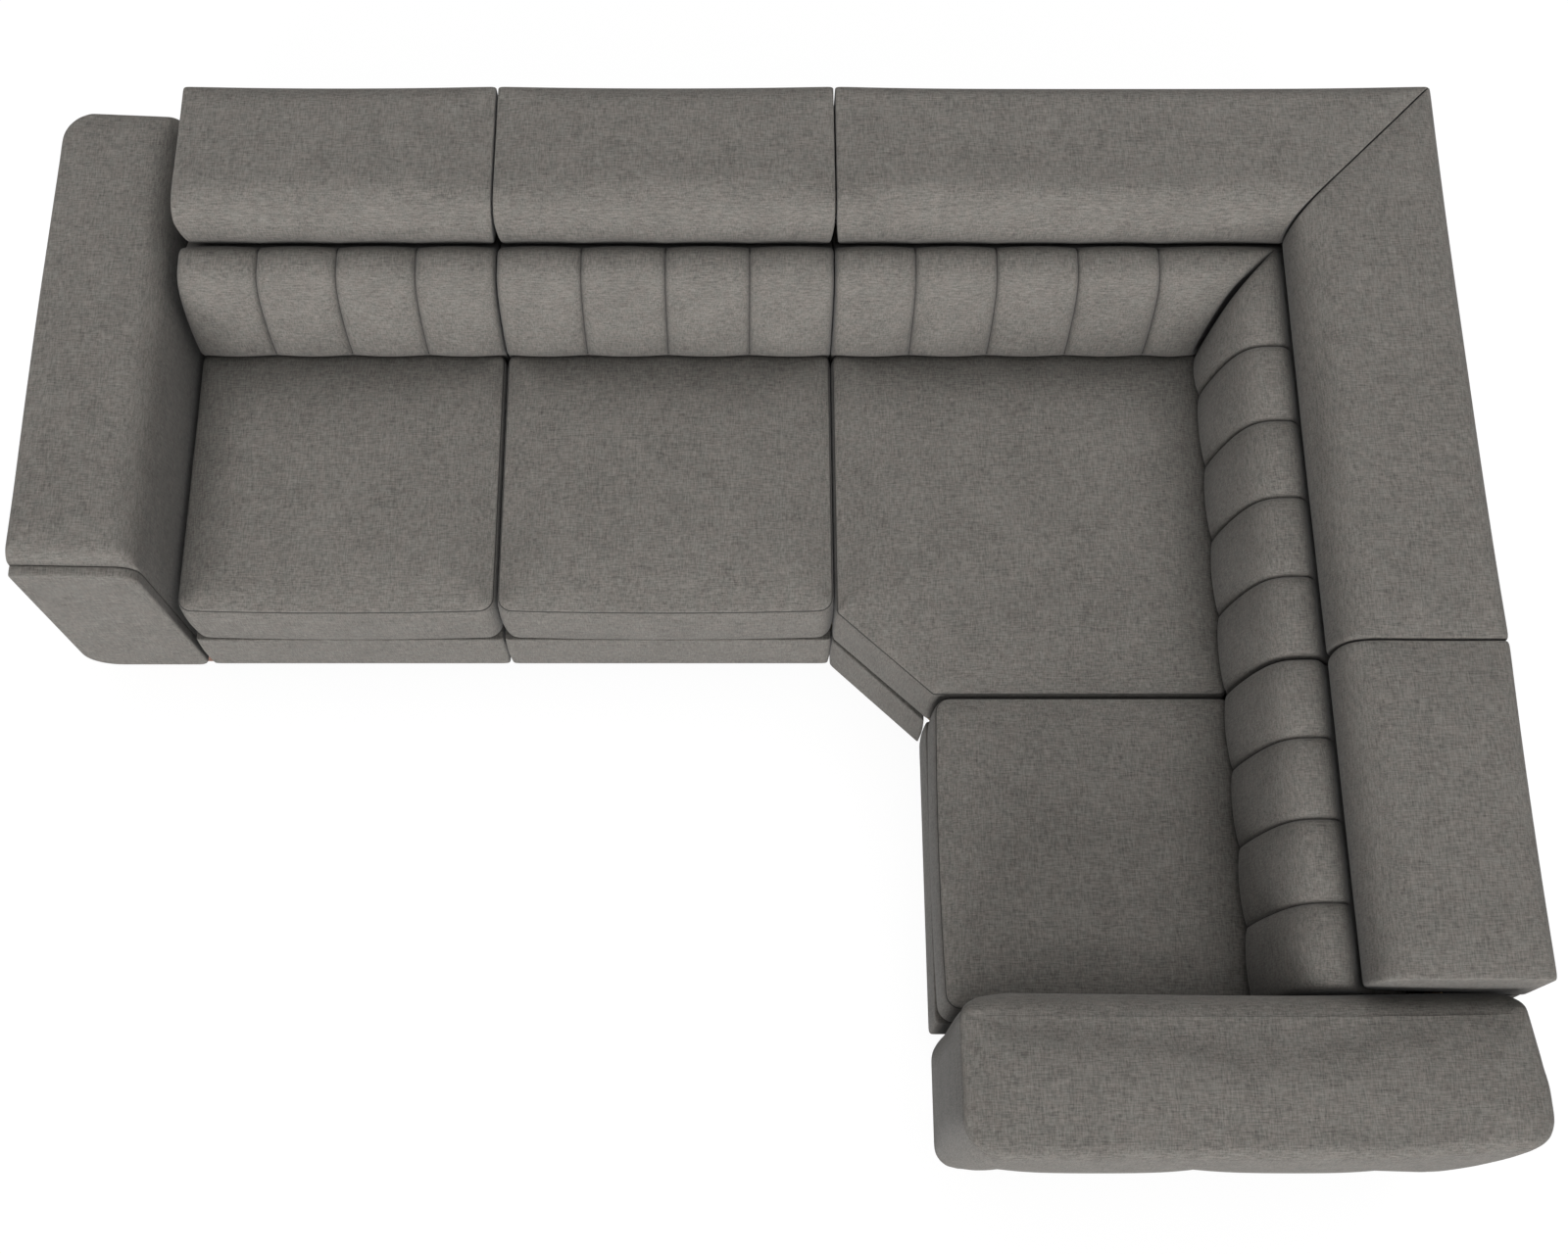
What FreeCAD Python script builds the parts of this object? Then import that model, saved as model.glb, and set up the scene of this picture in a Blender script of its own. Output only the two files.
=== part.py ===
import FreeCAD, Part
import math
import os

import Sketcher

# Corner sofa of four upholstered modules between two arms.
# The long run stands along X with its back to +Y, and the short run along Y with its back to +X.
# Millimetres, +Z up, origin on the floor under the middle of the whole outline.

Vector = FreeCAD.Vector
doc = FreeCAD.newDocument("corner_sofa")

# Driving dimensions
DIMENSIONS = {
    # plan of the modules
    "run_depth": 1040,
    "seat_1_width": 660,
    "seat_2_width": 700,
    "seat_3_width": 634,
    "corner_width": 1235,
    "corner_length": 1220,
    "left_arm_width": 256,
    "right_arm_width": 295,
    "arm_gap": 4,
    "frame_gap": 5,
    "soft_gap": 1.2,
    "fit_gap": 0.3,
    # heights
    "foot_height": 112,
    "base_height": 152,
    "seat_height": 430,
    "back_over_lip": 59,
    "headrest_height": 772,
    "headrest_thick": 164,
    # timber
    "rail_thick": 30,
    "board_thick": 18,
    "rail_high": 70,
    "back_depth": 150,
    "top_rail_deep": 40,
    "skin_thick": 11,
    "skin_gap": 4,
    # springs and webbing
    "spring_wire": 3.6,
    "spring_width": 44,
    "spring_pitch": 47,
    "springs_per_seat": 4,
    "strap_wide": 50,
    "strap_thick": 2,
    "strap_clear": 16,
    "dust_thick": 1.5,
    # base fascia
    "fascia_thick": 44,
    "fascia_tuck": 9,
    "fascia_setback": 6,
    "fascia_radius": 12,
    # seat cushions
    "seat_back_line": 438,
    "seat_tuck": 10,
    "seat_crown": 13,
    "seat_radius": 42,
    "seat_bow": 4,
    "foam_cover": 34,
    "foam_cover_low": 12,
    # back cushions
    "back_line": 453,
    "back_bulge": 8,
    "back_end_tuck": 9,
    "back_top_line": 384,
    "back_tuck_drop": 4,
    "corner_channel": 167.5,
    "diagonal_cover": 62,
    "diagonal_rail": 42,
    "channels_per_seat": 4,
    # headrests
    "headrest_depth": 313,
    "headrest_tuck": 13,
    "headrest_swell": 2,
    "headrest_gap": 4,
    "headrest_side_gap": 8,
    "pivot_line": 250,
    "pivot_drop": 57,
    "lip_gap": 3,
    "hinge_thick": 5,
    "hinge_washer": 1,
    "hinge_bar": 24,
    "hinge_inset": 95,
    "hub_radius": 20,
    "hub_clearance": 13,
    "pin_radius": 5,
    "pin_play": 0.1,
    "pin_head": 4,
    "flange_long": 40,
    "flange_thick": 3,
    "slot_play": 1.5,
    "slot_reach": 150,
    "cleat_thick": 28,
    "headrest_board_thick": 12,
    "headrest_skin": 4,
    # arms
    "left_arm_height": 683,
    "left_arm_slope": 15,
    "right_arm_height": 700,
    "right_arm_slope": 4,
    "left_arm_draw": 0,
    "right_arm_draw": 28,
    "arm_lean": 16,
    "arm_crown": 4,
    "arm_belly": 5,
    "arm_inner_radius": 46,
    "arm_outer_radius": 10,
    "arm_foot_radius": 46,
    "arm_low_radius": 22,
    "arm_rear_radius": 68,
    "arm_panel_thick": 26,
    "arm_panel_tuck": 9,
    "arm_seam_tuck": 4,
    "arm_wall": 20,
    "arm_frame_outer": 48,
    "arm_rear_wall": 32,
    "arm_top_wall": 38,
    # feet
    "glide_high": 3,
    "glide_radius": 16,
    "foot_top_radius": 27,
    "foot_low_radius": 20,
    "foot_inset": 75,
    "arm_foot_long": 60,
    "arm_foot_outer": 48,
    "arm_foot_inner": 3,
    "arm_foot_front": 42,
    "arm_foot_chamfer": 4,
    # fixings
    "plate_long": 60,
    "plate_high": 80,
    "plate_low": 30,
    "plate_front_gap": 129.7,
    "plate_rear_line": 300,
    "bolt_radius": 4,
    "bolt_head": 5,
    "bolt_head_radius": 7.5,
    "arm_foot_block": 80,
    "overrun": 20,
}

dim = doc.addObject("Spreadsheet::Sheet", "dim")
for row, (alias, value) in enumerate(DIMENSIONS.items(), start=1):
    dim.set(f"A{row}", alias)
    dim.set(f"B{row}", str(value))
    dim.setAlias(f"B{row}", alias)
doc.recompute()

# Lines and levels that follow from the driving dimensions
LINES = {
    "right": "(dim.left_arm_width + dim.arm_gap + dim.seat_1_width + dim.seat_2_width"
             " + dim.corner_width) / 2",
    "left": "-line.right",
    "rear": "(dim.corner_length + dim.seat_3_width + dim.arm_gap + dim.right_arm_width) / 2",
    "front": "-line.rear",
    "seat_1_low": "line.left + dim.left_arm_width + dim.arm_gap",
    "seat_2_low": "line.seat_1_low + dim.seat_1_width",
    "corner_low": "line.seat_2_low + dim.seat_2_width",
    "corner_side_low": "line.rear - dim.corner_length",
    "seat_3_low": "line.corner_side_low - dim.seat_3_width",
    "run_front": "line.rear - dim.run_depth",
    "run_side": "line.right - dim.run_depth",
    "base_top": "dim.foot_height + dim.base_height",
    "rail_top": "line.base_top - dim.spring_wire - 2 * dim.fit_gap",
    "headrest_low": "dim.headrest_height - dim.headrest_thick",
    "frame_top": "line.headrest_low - 2 * dim.fit_gap",
    "skin_line": "dim.skin_gap + dim.skin_thick",
    "fascia_line": "dim.run_depth - dim.fascia_setback",
    "fascia_back": "line.fascia_line - dim.fascia_thick",
    "front_rail_line": "line.fascia_back - dim.fit_gap",
    "front_rail_back": "line.front_rail_line - dim.rail_thick",
    "plate_front_line": "line.front_rail_back - dim.plate_front_gap",
    "rear_rail_line": "dim.back_depth + dim.rail_thick",
    "top_rail_line": "dim.back_depth - dim.top_rail_deep",
    "top_rail_low": "line.frame_top - dim.rail_high",
    "pivot_up": "dim.headrest_height - dim.pivot_drop",
    "hinge_stack": "2 * dim.hinge_thick + dim.hinge_washer",
    "diagonal_slope": "(line.run_front - line.corner_side_low) / (line.run_side - line.corner_low)",
    "diagonal_start": "dim.fascia_setback + dim.diagonal_cover + dim.fit_gap",
    "diagonal_end": "line.diagonal_start + dim.diagonal_rail",
}
line = doc.addObject("App::VarSet", "line")
for name, formula in LINES.items():
    line.addProperty("App::PropertyFloat", name, "lines")
    line.setExpression(name, formula)
doc.recompute()

# Each run and arm has its own reading of a place: along it, across it from its outer face, and up.
RUNS = {
    "main": ("x", "y", "line.rear", -1),
    "side": ("y", "x", "line.right", -1),
    "left_arm": ("y", "x", "line.left", 1),
    "right_arm": ("x", "y", "line.front", 1),
}
MODULES = {
    "1": ("main", "line.seat_1_low", "line.seat_2_low"),
    "2": ("main", "line.seat_2_low", "line.corner_low"),
    "3": ("side", "line.seat_3_low", "line.corner_side_low"),
}
LEGS = {
    "left": ("main", "line.corner_low", "line.right"),
    "right": ("side", "line.corner_side_low", "line.rear"),
}
ARMS = {"left": "left_arm", "right": "right_arm"}
AXES = {"x": Vector(1, 0, 0), "y": Vector(0, 1, 0), "z": Vector(0, 0, 1)}
nodes = []


def value(formula):
    """The number that a formula of the sheet gives."""
    return float(dim.evalExpression(formula))


def spot(run, along, across, up):
    """A point of a run as a point of the whole sofa."""
    along_axis, across_axis, origin, sign = RUNS[run]
    place = {along_axis: along, across_axis: value(origin) + sign * across, "z": up}
    return Vector(place["x"], place["y"], place["z"])


def across_line(run, across):
    origin, sign = RUNS[run][2:]
    return f"{origin} + ({sign}) * ({across})"


def keep(item, label):
    """Enter an object as a sub-part that is written out under its label."""
    item.Label = label
    nodes.append(item)
    return item


def place_at(item, run, along, across, up):
    along_axis, across_axis = RUNS[run][:2]
    item.setExpression(f".Placement.Base.{along_axis}", along)
    item.setExpression(f".Placement.Base.{across_axis}", across_line(run, across))
    item.setExpression(".Placement.Base.z", up)


def beam(name, run, along, across, up):
    """A straight board between two limits each way, written as formulas."""
    along_axis, across_axis, origin, sign = RUNS[run]
    sides = [across_line(run, limit) for limit in across]
    spans = {along_axis: along, across_axis: sides[::sign], "z": up}
    item = doc.addObject("Part::Box", name)
    for axis, size in (("x", "Length"), ("y", "Width"), ("z", "Height")):
        low, high = spans[axis]
        item.setExpression(f".Placement.Base.{axis}", f"{low}")
        item.setExpression(size, f"({high}) - ({low})")
    return item


def rod(name, run, along, across, up, radius, length):
    """A round bar that lies along the run."""
    item = doc.addObject("Part::Cylinder", name)
    item.setExpression("Radius", radius)
    item.setExpression("Height", length)
    item.Placement = FreeCAD.Placement(Vector(), FreeCAD.Rotation(AXES["z"], AXES[RUNS[run][0]]))
    place_at(item, run, along, across, up)
    return item


def group(name, members):
    item = doc.addObject("Part::Compound", name)
    item.Links = members
    return item


def joined(name, members):
    item = doc.addObject("Part::MultiFuse", name)
    item.Shapes = members
    return item


def cut(name, base, tool):
    item = doc.addObject("Part::Cut", name)
    item.Base = base
    item.Tool = tool
    return item


def solid(name, shape):
    item = doc.addObject("Part::Feature", name)
    item.Shape = shape
    item.Placement = FreeCAD.Placement()
    return item


def sketch_of(body, name, corners):
    """A closed outline on the body's own XY plane, each corner held by two formulas."""
    sketch = body.newObject("Sketcher::SketchObject", name)
    plane = next(item for item in body.Origin.OriginFeatures if item.Role == "XY_Plane")
    sketch.AttachmentSupport = (plane, "")
    sketch.MapMode = "FlatFace"
    points = [Vector(value(x), value(y), 0) for x, y in corners]
    for here, there in zip(points, points[1:] + points[:1]):
        sketch.addGeometry(Part.LineSegment(here, there), False)
    for index, corner in enumerate(corners):
        following = (index + 1) % len(corners)
        sketch.addConstraint(Sketcher.Constraint("Coincident", index, 2, following, 1))
        for kind, formula in zip(("DistanceX", "DistanceY"), corner):
            rule = Sketcher.Constraint(kind, -1, 1, index, 1, value(formula))
            number = sketch.addConstraint(rule)
            sketch.setExpression(f"Constraints[{number}]", formula)
    return sketch


def plate(name, run, along, thick, corners):
    """A flat plate that stands across the run, drawn by distance from the rear and height."""
    body = doc.addObject("PartDesign::Body", name)
    pad = body.newObject("PartDesign::Pad", f"{name}_pad")
    pad.Profile = sketch_of(body, f"{name}_outline", corners)
    pad.setExpression("Length", thick)
    inward = -AXES[RUNS[run][1]]
    turn = FreeCAD.Rotation(inward, AXES["z"], inward.cross(AXES["z"]), "ZXY")
    body.Placement = FreeCAD.Placement(Vector(), turn)
    start = f"{along} + {thick}" if run == "main" else along
    place_at(body, run, start, "0", "0")
    return body


def prism(name, corners, low, high):
    """An upright block whose plan is drawn in the sofa's own X and Y."""
    body = doc.addObject("PartDesign::Body", name)
    pad = body.newObject("PartDesign::Pad", f"{name}_pad")
    pad.Profile = sketch_of(body, f"{name}_outline", corners)
    pad.setExpression("Length", f"({high}) - ({low})")
    body.setExpression(".Placement.Base.z", low)
    return body


# Padded forms
ROUND_SHARE = 1 - math.sqrt(0.5)
# Most of a side that the rounding at one of its ends may take
LEG_SHARE = 0.4


def wire_of(points):
    """A closed wire: each entry is an end point, or an arc's middle and end point."""
    edges = []
    here = points[-1][-1]
    for entry in points:
        there = entry[-1]
        if len(entry) == 1:
            edges.append(Part.LineSegment(here, there).toShape())
        else:
            edges.append(Part.Arc(here, entry[0], there).toShape())
        here = there
    return Part.Wire(edges)


def meeting(first, second):
    """Where two lines meet, each given by a point and a direction."""
    (point, way), (other, turn) = first, second
    gap = other - point
    share = (gap.x * turn.y - gap.y * turn.x) / (way.x * turn.y - way.y * turn.x)
    return point + way * share


def outline(corners, tuck, radius, bow, up):
    """A plan outline drawn in by a tuck, with rounded corners and bowed sides."""
    count = len(corners)
    sides = []
    for index in range(count):
        way = corners[(index + 1) % count] - corners[index]
        way.normalize()
        sides.append((corners[index] + Vector(-way.y, way.x, 0) * tuck, way))
    tips = [meeting(sides[index - 1], sides[index]) for index in range(count)]
    points = []
    for index in range(count):
        before = sides[index - 1][1]
        after = sides[index][1]
        corner = tips[index]
        shortest = min((corner - tips[index - 1]).Length, (tips[(index + 1) % count] - corner).Length)
        turn = math.acos(before.dot(after))
        leg = min(radius * math.tan(turn / 2), LEG_SHARE * shortest)
        bend = leg / math.tan(turn / 2)
        inward = (after - before).normalize()
        middle = corner + inward * (bend / math.cos(turn / 2) - bend)
        points.append((corner - before * leg, middle, corner + after * leg))
    lift = Vector(0, 0, up)
    entries = []
    for index in range(count):
        start, middle, end = points[index]
        past = points[index - 1][2]
        way = sides[index - 1][1]
        belly = (past + start) * 0.5 + Vector(way.y, -way.x, 0) * bow
        entries.append((belly + lift, start + lift) if bow else (start + lift,))
        entries.append((middle + lift, end + lift))
    return wire_of(entries)


def stacked(wires):
    return Part.makeLoft(wires, True, True)


def plan_of(run, along, across):
    """The four corners of a straight piece in plan, anticlockwise."""
    ends = [spot(run, a, b, 0) for a, b in zip(along, across)]
    xs = sorted(end.x for end in ends)
    ys = sorted(end.y for end in ends)
    return [Vector(xs[0], ys[0]), Vector(xs[1], ys[0]), Vector(xs[1], ys[1]), Vector(xs[0], ys[1])]


# Side of a seat cushion from its foot to its top seam, then its crown: shares of height and tuck
SEAT_SIDE_SHARES = ((0, 1), (0.1, 0.3), (0.42, 0), (0.84, 0.2), (1, 0.8))
SEAT_CROWN_SHARES = ((0.4, 0.07), (0.72, 0.25), (0.93, 0.6), (1, 1))
SEAT_DRAW_SHARE = 0.71
FASCIA_SHARES = ((0, 1), (0.05, 0.35), (0.14, 0), (0.86, 0), (0.96, 0.3), (1, 1))


def seat_form(corners):
    low = line.base_top + dim.fit_gap
    wires = []
    for rise, tuck in SEAT_SIDE_SHARES:
        up = low + (dim.seat_height - low) * rise
        wires.append(outline(corners, dim.seat_tuck * tuck, dim.seat_radius, dim.seat_bow, up))
    seam = dim.seat_tuck * SEAT_SIDE_SHARES[-1][1]
    middle = sum(corners, Vector()) * (1 / len(corners))
    for rise, reach in SEAT_CROWN_SHARES:
        up = dim.seat_height + dim.seat_crown * rise
        drawn = [middle + (corner - middle) * (1 - SEAT_DRAW_SHARE * reach) for corner in corners]
        wires.append(outline(drawn, seam, dim.seat_radius, dim.seat_bow, up))
    return stacked(wires)


def fascia_form(corners):
    low = dim.foot_height
    high = line.base_top - 2 * dim.fit_gap
    wires = []
    for rise, tuck in FASCIA_SHARES:
        up = low + (high - low) * rise
        wires.append(outline(corners, dim.fascia_tuck * tuck, dim.fascia_radius, 0, up))
    return stacked(wires)


# A back cushion by level: share of the height, then of the front's lean, the channel bulge
# and how far the rear stands forward to pass in front of the headrest
BACK_LOW_SHARES = (
    (0.05, 0.03, 0.7, 0), (0.12, 0, 1, 0), (0.28, -0.01, 1, 0), (0.36, -0.015, 1, 0.24),
    (0.65, -0.02, 1, 0.24), (0.9, 0.05, 1, 0.24),
)
BACK_HIGH_SHARES = (
    (-0.05, 0.09, 1, 0.62), (0.27, 0.22, 0.9, 0.855), (0.64, 0.53, 0.8, 0.938),
    (0.89, 0.8, 0.6, 0.98), (1, 1, 0.4, 1),
)


def back_levels():
    """Height, front line, rear line and channel bulge at each level of a back cushion."""
    tucked = dim.seat_back_line - dim.soft_gap
    rear = dim.back_depth + dim.strap_thick + dim.fit_gap
    lean = dim.back_line - dim.back_top_line
    forward = dim.headrest_depth + dim.lip_gap - rear
    levels = [
        (line.base_top + dim.fit_gap, tucked, rear, 0),
        (dim.seat_height - dim.back_tuck_drop, tucked, rear, 0),
    ]
    parts = (
        (dim.seat_height, line.headrest_low - dim.seat_height, BACK_LOW_SHARES),
        (line.headrest_low, dim.back_over_lip, BACK_HIGH_SHARES),
    )
    for low, rise, shares in parts:
        for rise_share, lean_share, bulge_share, rear_share in shares:
            levels.append((
                low + rise * rise_share, dim.back_line - lean * lean_share,
                rear + forward * rear_share, dim.back_bulge * bulge_share))
    return levels


def channelled(run, low, seams, high):
    """A back cushion with sewn upright channels; high gives its far end at a distance across."""
    wires = []
    for up, front, rear, bulge in back_levels():
        tucked = front - dim.back_end_tuck
        entries = [(spot(run, low, tucked, up),)]
        here = low
        across = tucked
        for seam in seams + [high(tucked)]:
            last = seam == high(tucked)
            end = tucked if last else front
            middle = spot(run, (here + seam) / 2, (across + end) / 2 + bulge, up)
            if bulge == 0:
                middle = (spot(run, here, across, up) + spot(run, seam, end, up)) * 0.5
                entries.append((spot(run, seam, end, up),))
            else:
                entries.append((middle, spot(run, seam, end, up)))
            here = seam
            across = end
        entries.append((spot(run, high(rear), rear, up),))
        entries.append((spot(run, low, rear, up),))
        wires.append(wire_of(entries))
    return stacked(wires)


# Side view of a headrest, as shares of its depth and of its height over its own underside
HEADREST_SHARES = (
    ((0.035, 0),),
    ((0.69, 0),),
    ((0.905, 0.1), (1, 0.415)),
    ((0.985, 0.74), (0.905, 0.99)),
    ((0.84, 1), (0.66, 0.995)),
    ((0.36, 1), (0.055, 0.985)),
    ((0.017, 0.962), (0, 0.91)),
    ((0, 0.09),),
    ((0.01, 0.025), (0.035, 0)),
)
END_SHARES = ((0, 1), (0.12, 0.45), (0.4, 0.1), (1, 0))
END_REACH_SHARE = 3.2


def headrest_wire(run, along, tuck, swell):
    """The side view of a headrest at one place along it, drawn in or swollen about its middle."""
    depth = dim.headrest_depth
    tall = dim.headrest_thick
    grow = 1 - 2 * tuck / tall
    entries = []
    for entry in HEADREST_SHARES[1:]:
        row = []
        for depth_share, height_share in entry:
            across = depth / 2 + (depth_share - 0.5) * (depth - 2 * tuck)
            up = tall / 2 + (height_share - 0.5) * tall * grow + swell * height_share
            row.append(spot(run, along, across, line.headrest_low + up))
        entries.append(tuple(row))
    return wire_of(entries)


def headrest_form(run, low, high, ends):
    """A headrest from low to high along the run; ends says which of the two are rounded."""
    reach = dim.headrest_tuck * END_REACH_SHARE
    stations = []
    for share, tuck in END_SHARES:
        stations.append((low + reach * share, tuck if ends[0] else 0))
    stations.append(((low + high) / 2, 0))
    for share, tuck in reversed(END_SHARES):
        stations.append((high - reach * share, tuck if ends[1] else 0))
    wires = []
    for along, tuck in stations:
        swell = dim.headrest_swell if along == (low + high) / 2 else 0
        wires.append(headrest_wire(run, along, dim.headrest_tuck * tuck, swell))
    return stacked(wires)


def mitre_half(run):
    """The far side of the 45 degree mitre, to cut a corner piece of this run to its end."""
    far = dim.run_depth + dim.overrun
    gap = dim.headrest_gap / 2
    corner = [(far, far), (-far, -far), (-far, far)]
    points = []
    for along, across in corner:
        end = value(LEGS["left" if run == "main" else "right"][2])
        points.append(spot(run, end - along - gap, across, 0))
    face = Part.Face(Part.makePolygon(points + points[:1]))
    return face.extrude(Vector(0, 0, dim.headrest_height + dim.overrun))


# Section of an arm, from its outer face inwards; the outer face is drawn in towards the foot
DRAW_MIDDLE_SHARE = 0.1


def arm_wire(run, along, width, height, slope, draw, tuck, outer):
    low = dim.foot_height
    inner_top = width - dim.arm_lean
    belly = dim.arm_belly
    lowered = height - slope
    radius = dim.arm_inner_radius
    edge = dim.arm_outer_radius
    foot = dim.arm_foot_radius - draw
    under = dim.arm_low_radius
    shape = (
        ((width - under, low),),
        ((width - under * ROUND_SHARE, low + under * ROUND_SHARE), (width, low + under)),
        ((width - dim.arm_lean / 2, (low + lowered) / 2), (inner_top, lowered - radius)),
        ((inner_top - radius * ROUND_SHARE, lowered - radius * ROUND_SHARE),
         (inner_top - radius, lowered)),
        (((inner_top - radius + edge) / 2, (lowered + height) / 2 + dim.arm_crown),
         (belly + edge, height)),
        ((belly + edge * ROUND_SHARE, height - edge * ROUND_SHARE), (belly, height - edge)),
        ((draw * DRAW_MIDDLE_SHARE, (low + height) / 2), (draw + belly / 2, low + foot)),
        ((draw + foot * ROUND_SHARE, low + foot * ROUND_SHARE), (draw + foot, low)),
    )
    entries = []
    for entry in shape:
        row = []
        for across, up in entry:
            share = across / width
            drawn = across + tuck * (1 - 2 * share) + outer * (1 - share)
            raised = up - (tuck + outer * ROUND_SHARE) * (up - low) / (height - low)
            row.append(spot(run, along, drawn, raised))
        entries.append(tuple(row))
    return wire_of(entries)


SEAM_SHARES = ((-6, 0), (0, 0.5), (6, 0))
SEAM_ROLL_SHARE = 3
PANEL_SHARES = ((0, 1), (0.18, 0.3), (0.45, 0), (0.85, 0.1), (1, 0.5))
REAR_TURN_SHARES = (0, 0.35, 0.6, 0.8, 0.93, 1)


def arm_panel_form(run, front, width, height, slope, draw):
    wires = []
    for share, tuck in PANEL_SHARES:
        along = front + (dim.arm_panel_thick - dim.fit_gap) * share
        panel_tuck = dim.arm_panel_tuck * tuck
        wires.append(arm_wire(run, along, width, height, slope, draw, panel_tuck, 0))
    return stacked(wires)


def arm_form(run, front, rear, width, height, slope, draw, seams):
    """The long padded shell of an arm, with a rounded rear corner and shallow cross seams."""
    start = front + dim.arm_panel_thick
    radius = dim.arm_rear_radius
    stations = [(start, dim.arm_seam_tuck, 0), (start + SEAM_ROLL_SHARE * dim.arm_seam_tuck, 0, 0)]
    for seam in seams:
        for step, tuck in SEAM_SHARES:
            stations.append((seam + step * dim.arm_seam_tuck, tuck * dim.arm_seam_tuck, 0))
    for share in REAR_TURN_SHARES:
        inset = radius * (1 - math.sqrt(1 - share ** 2))
        stations.append((rear - radius + radius * share, 0, inset))
    return stacked([arm_wire(run, along, width, height, slope, draw, tuck, outer)
                    for along, tuck, outer in stations])


# Bolts between neighbouring frames: run, place along it, and reach below and above that place
MODULE_REACH = "dim.frame_gap / 2 + dim.rail_thick"
ARM_REACH = "dim.arm_gap + dim.arm_lean + dim.arm_wall + dim.board_thick"
BORDERS = {
    "line.seat_1_low": ("main", ARM_REACH, MODULE_REACH),
    "line.seat_2_low": ("main", MODULE_REACH, MODULE_REACH),
    "line.corner_low": ("main", MODULE_REACH, MODULE_REACH),
    "line.corner_side_low": ("side", MODULE_REACH, MODULE_REACH),
    "line.seat_3_low": ("side", ARM_REACH, MODULE_REACH),
}
PLATE_LINES = ("dim.plate_rear_line", "line.plate_front_line")
PLATE_LOW = "dim.foot_height + dim.plate_low"
shanks = {}
bolts = []
hook_plates = []


def bolt_border(number, place):
    """Two bolts through both rails at a border, and hook plates that fill the gap between them."""
    run, below, above = BORDERS[place]
    up = f"{PLATE_LOW} + dim.plate_high / 2"
    bars = []
    for count, across in enumerate(PLATE_LINES, start=1):
        name = f"bolt_{number}_{count}"
        middle = f"{across} + dim.plate_long / 2"
        bar = rod(name, run, f"{place} - ({below})", middle, up, "dim.bolt_radius", f"{below} + {above}")
        bars.append(bar)
        heads = []
        for end, start in (("low", f"{place} - ({below}) - dim.bolt_head"), ("high", f"{place} + {above}")):
            head = doc.addObject("Part::Prism", f"{name}_{end}_head")
            head.Polygon = 6
            head.setExpression("Circumradius", "dim.bolt_head_radius")
            head.setExpression("Height", "dim.bolt_head")
            head.Placement = FreeCAD.Placement(Vector(), FreeCAD.Rotation(AXES["z"], AXES[RUNS[run][0]]))
            place_at(head, run, start, middle, up)
            heads.append(head)
        bolts.append(joined(f"{name}_whole", [bar] + heads))
    shanks[place] = group(f"shanks_{number}", bars)
    if below != MODULE_REACH:
        return
    for count, across in enumerate(PLATE_LINES, start=1):
        for half in (0, 1):
            name = f"hook_plate_{number}_{count}_{half + 1}"
            start = f"{place} + ({half} - 1) * dim.frame_gap / 2"
            blank = beam(f"{name}_blank", run, (start, f"{start} + dim.frame_gap / 2"),
                         (across, f"{across} + dim.plate_long"),
                         (PLATE_LOW, f"{PLATE_LOW} + dim.plate_high"))
            hook_plates.append(cut(name, blank, shanks[place]))


def drilled(name, board, place):
    return cut(f"{name}_drilled", board, shanks[place])


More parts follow.
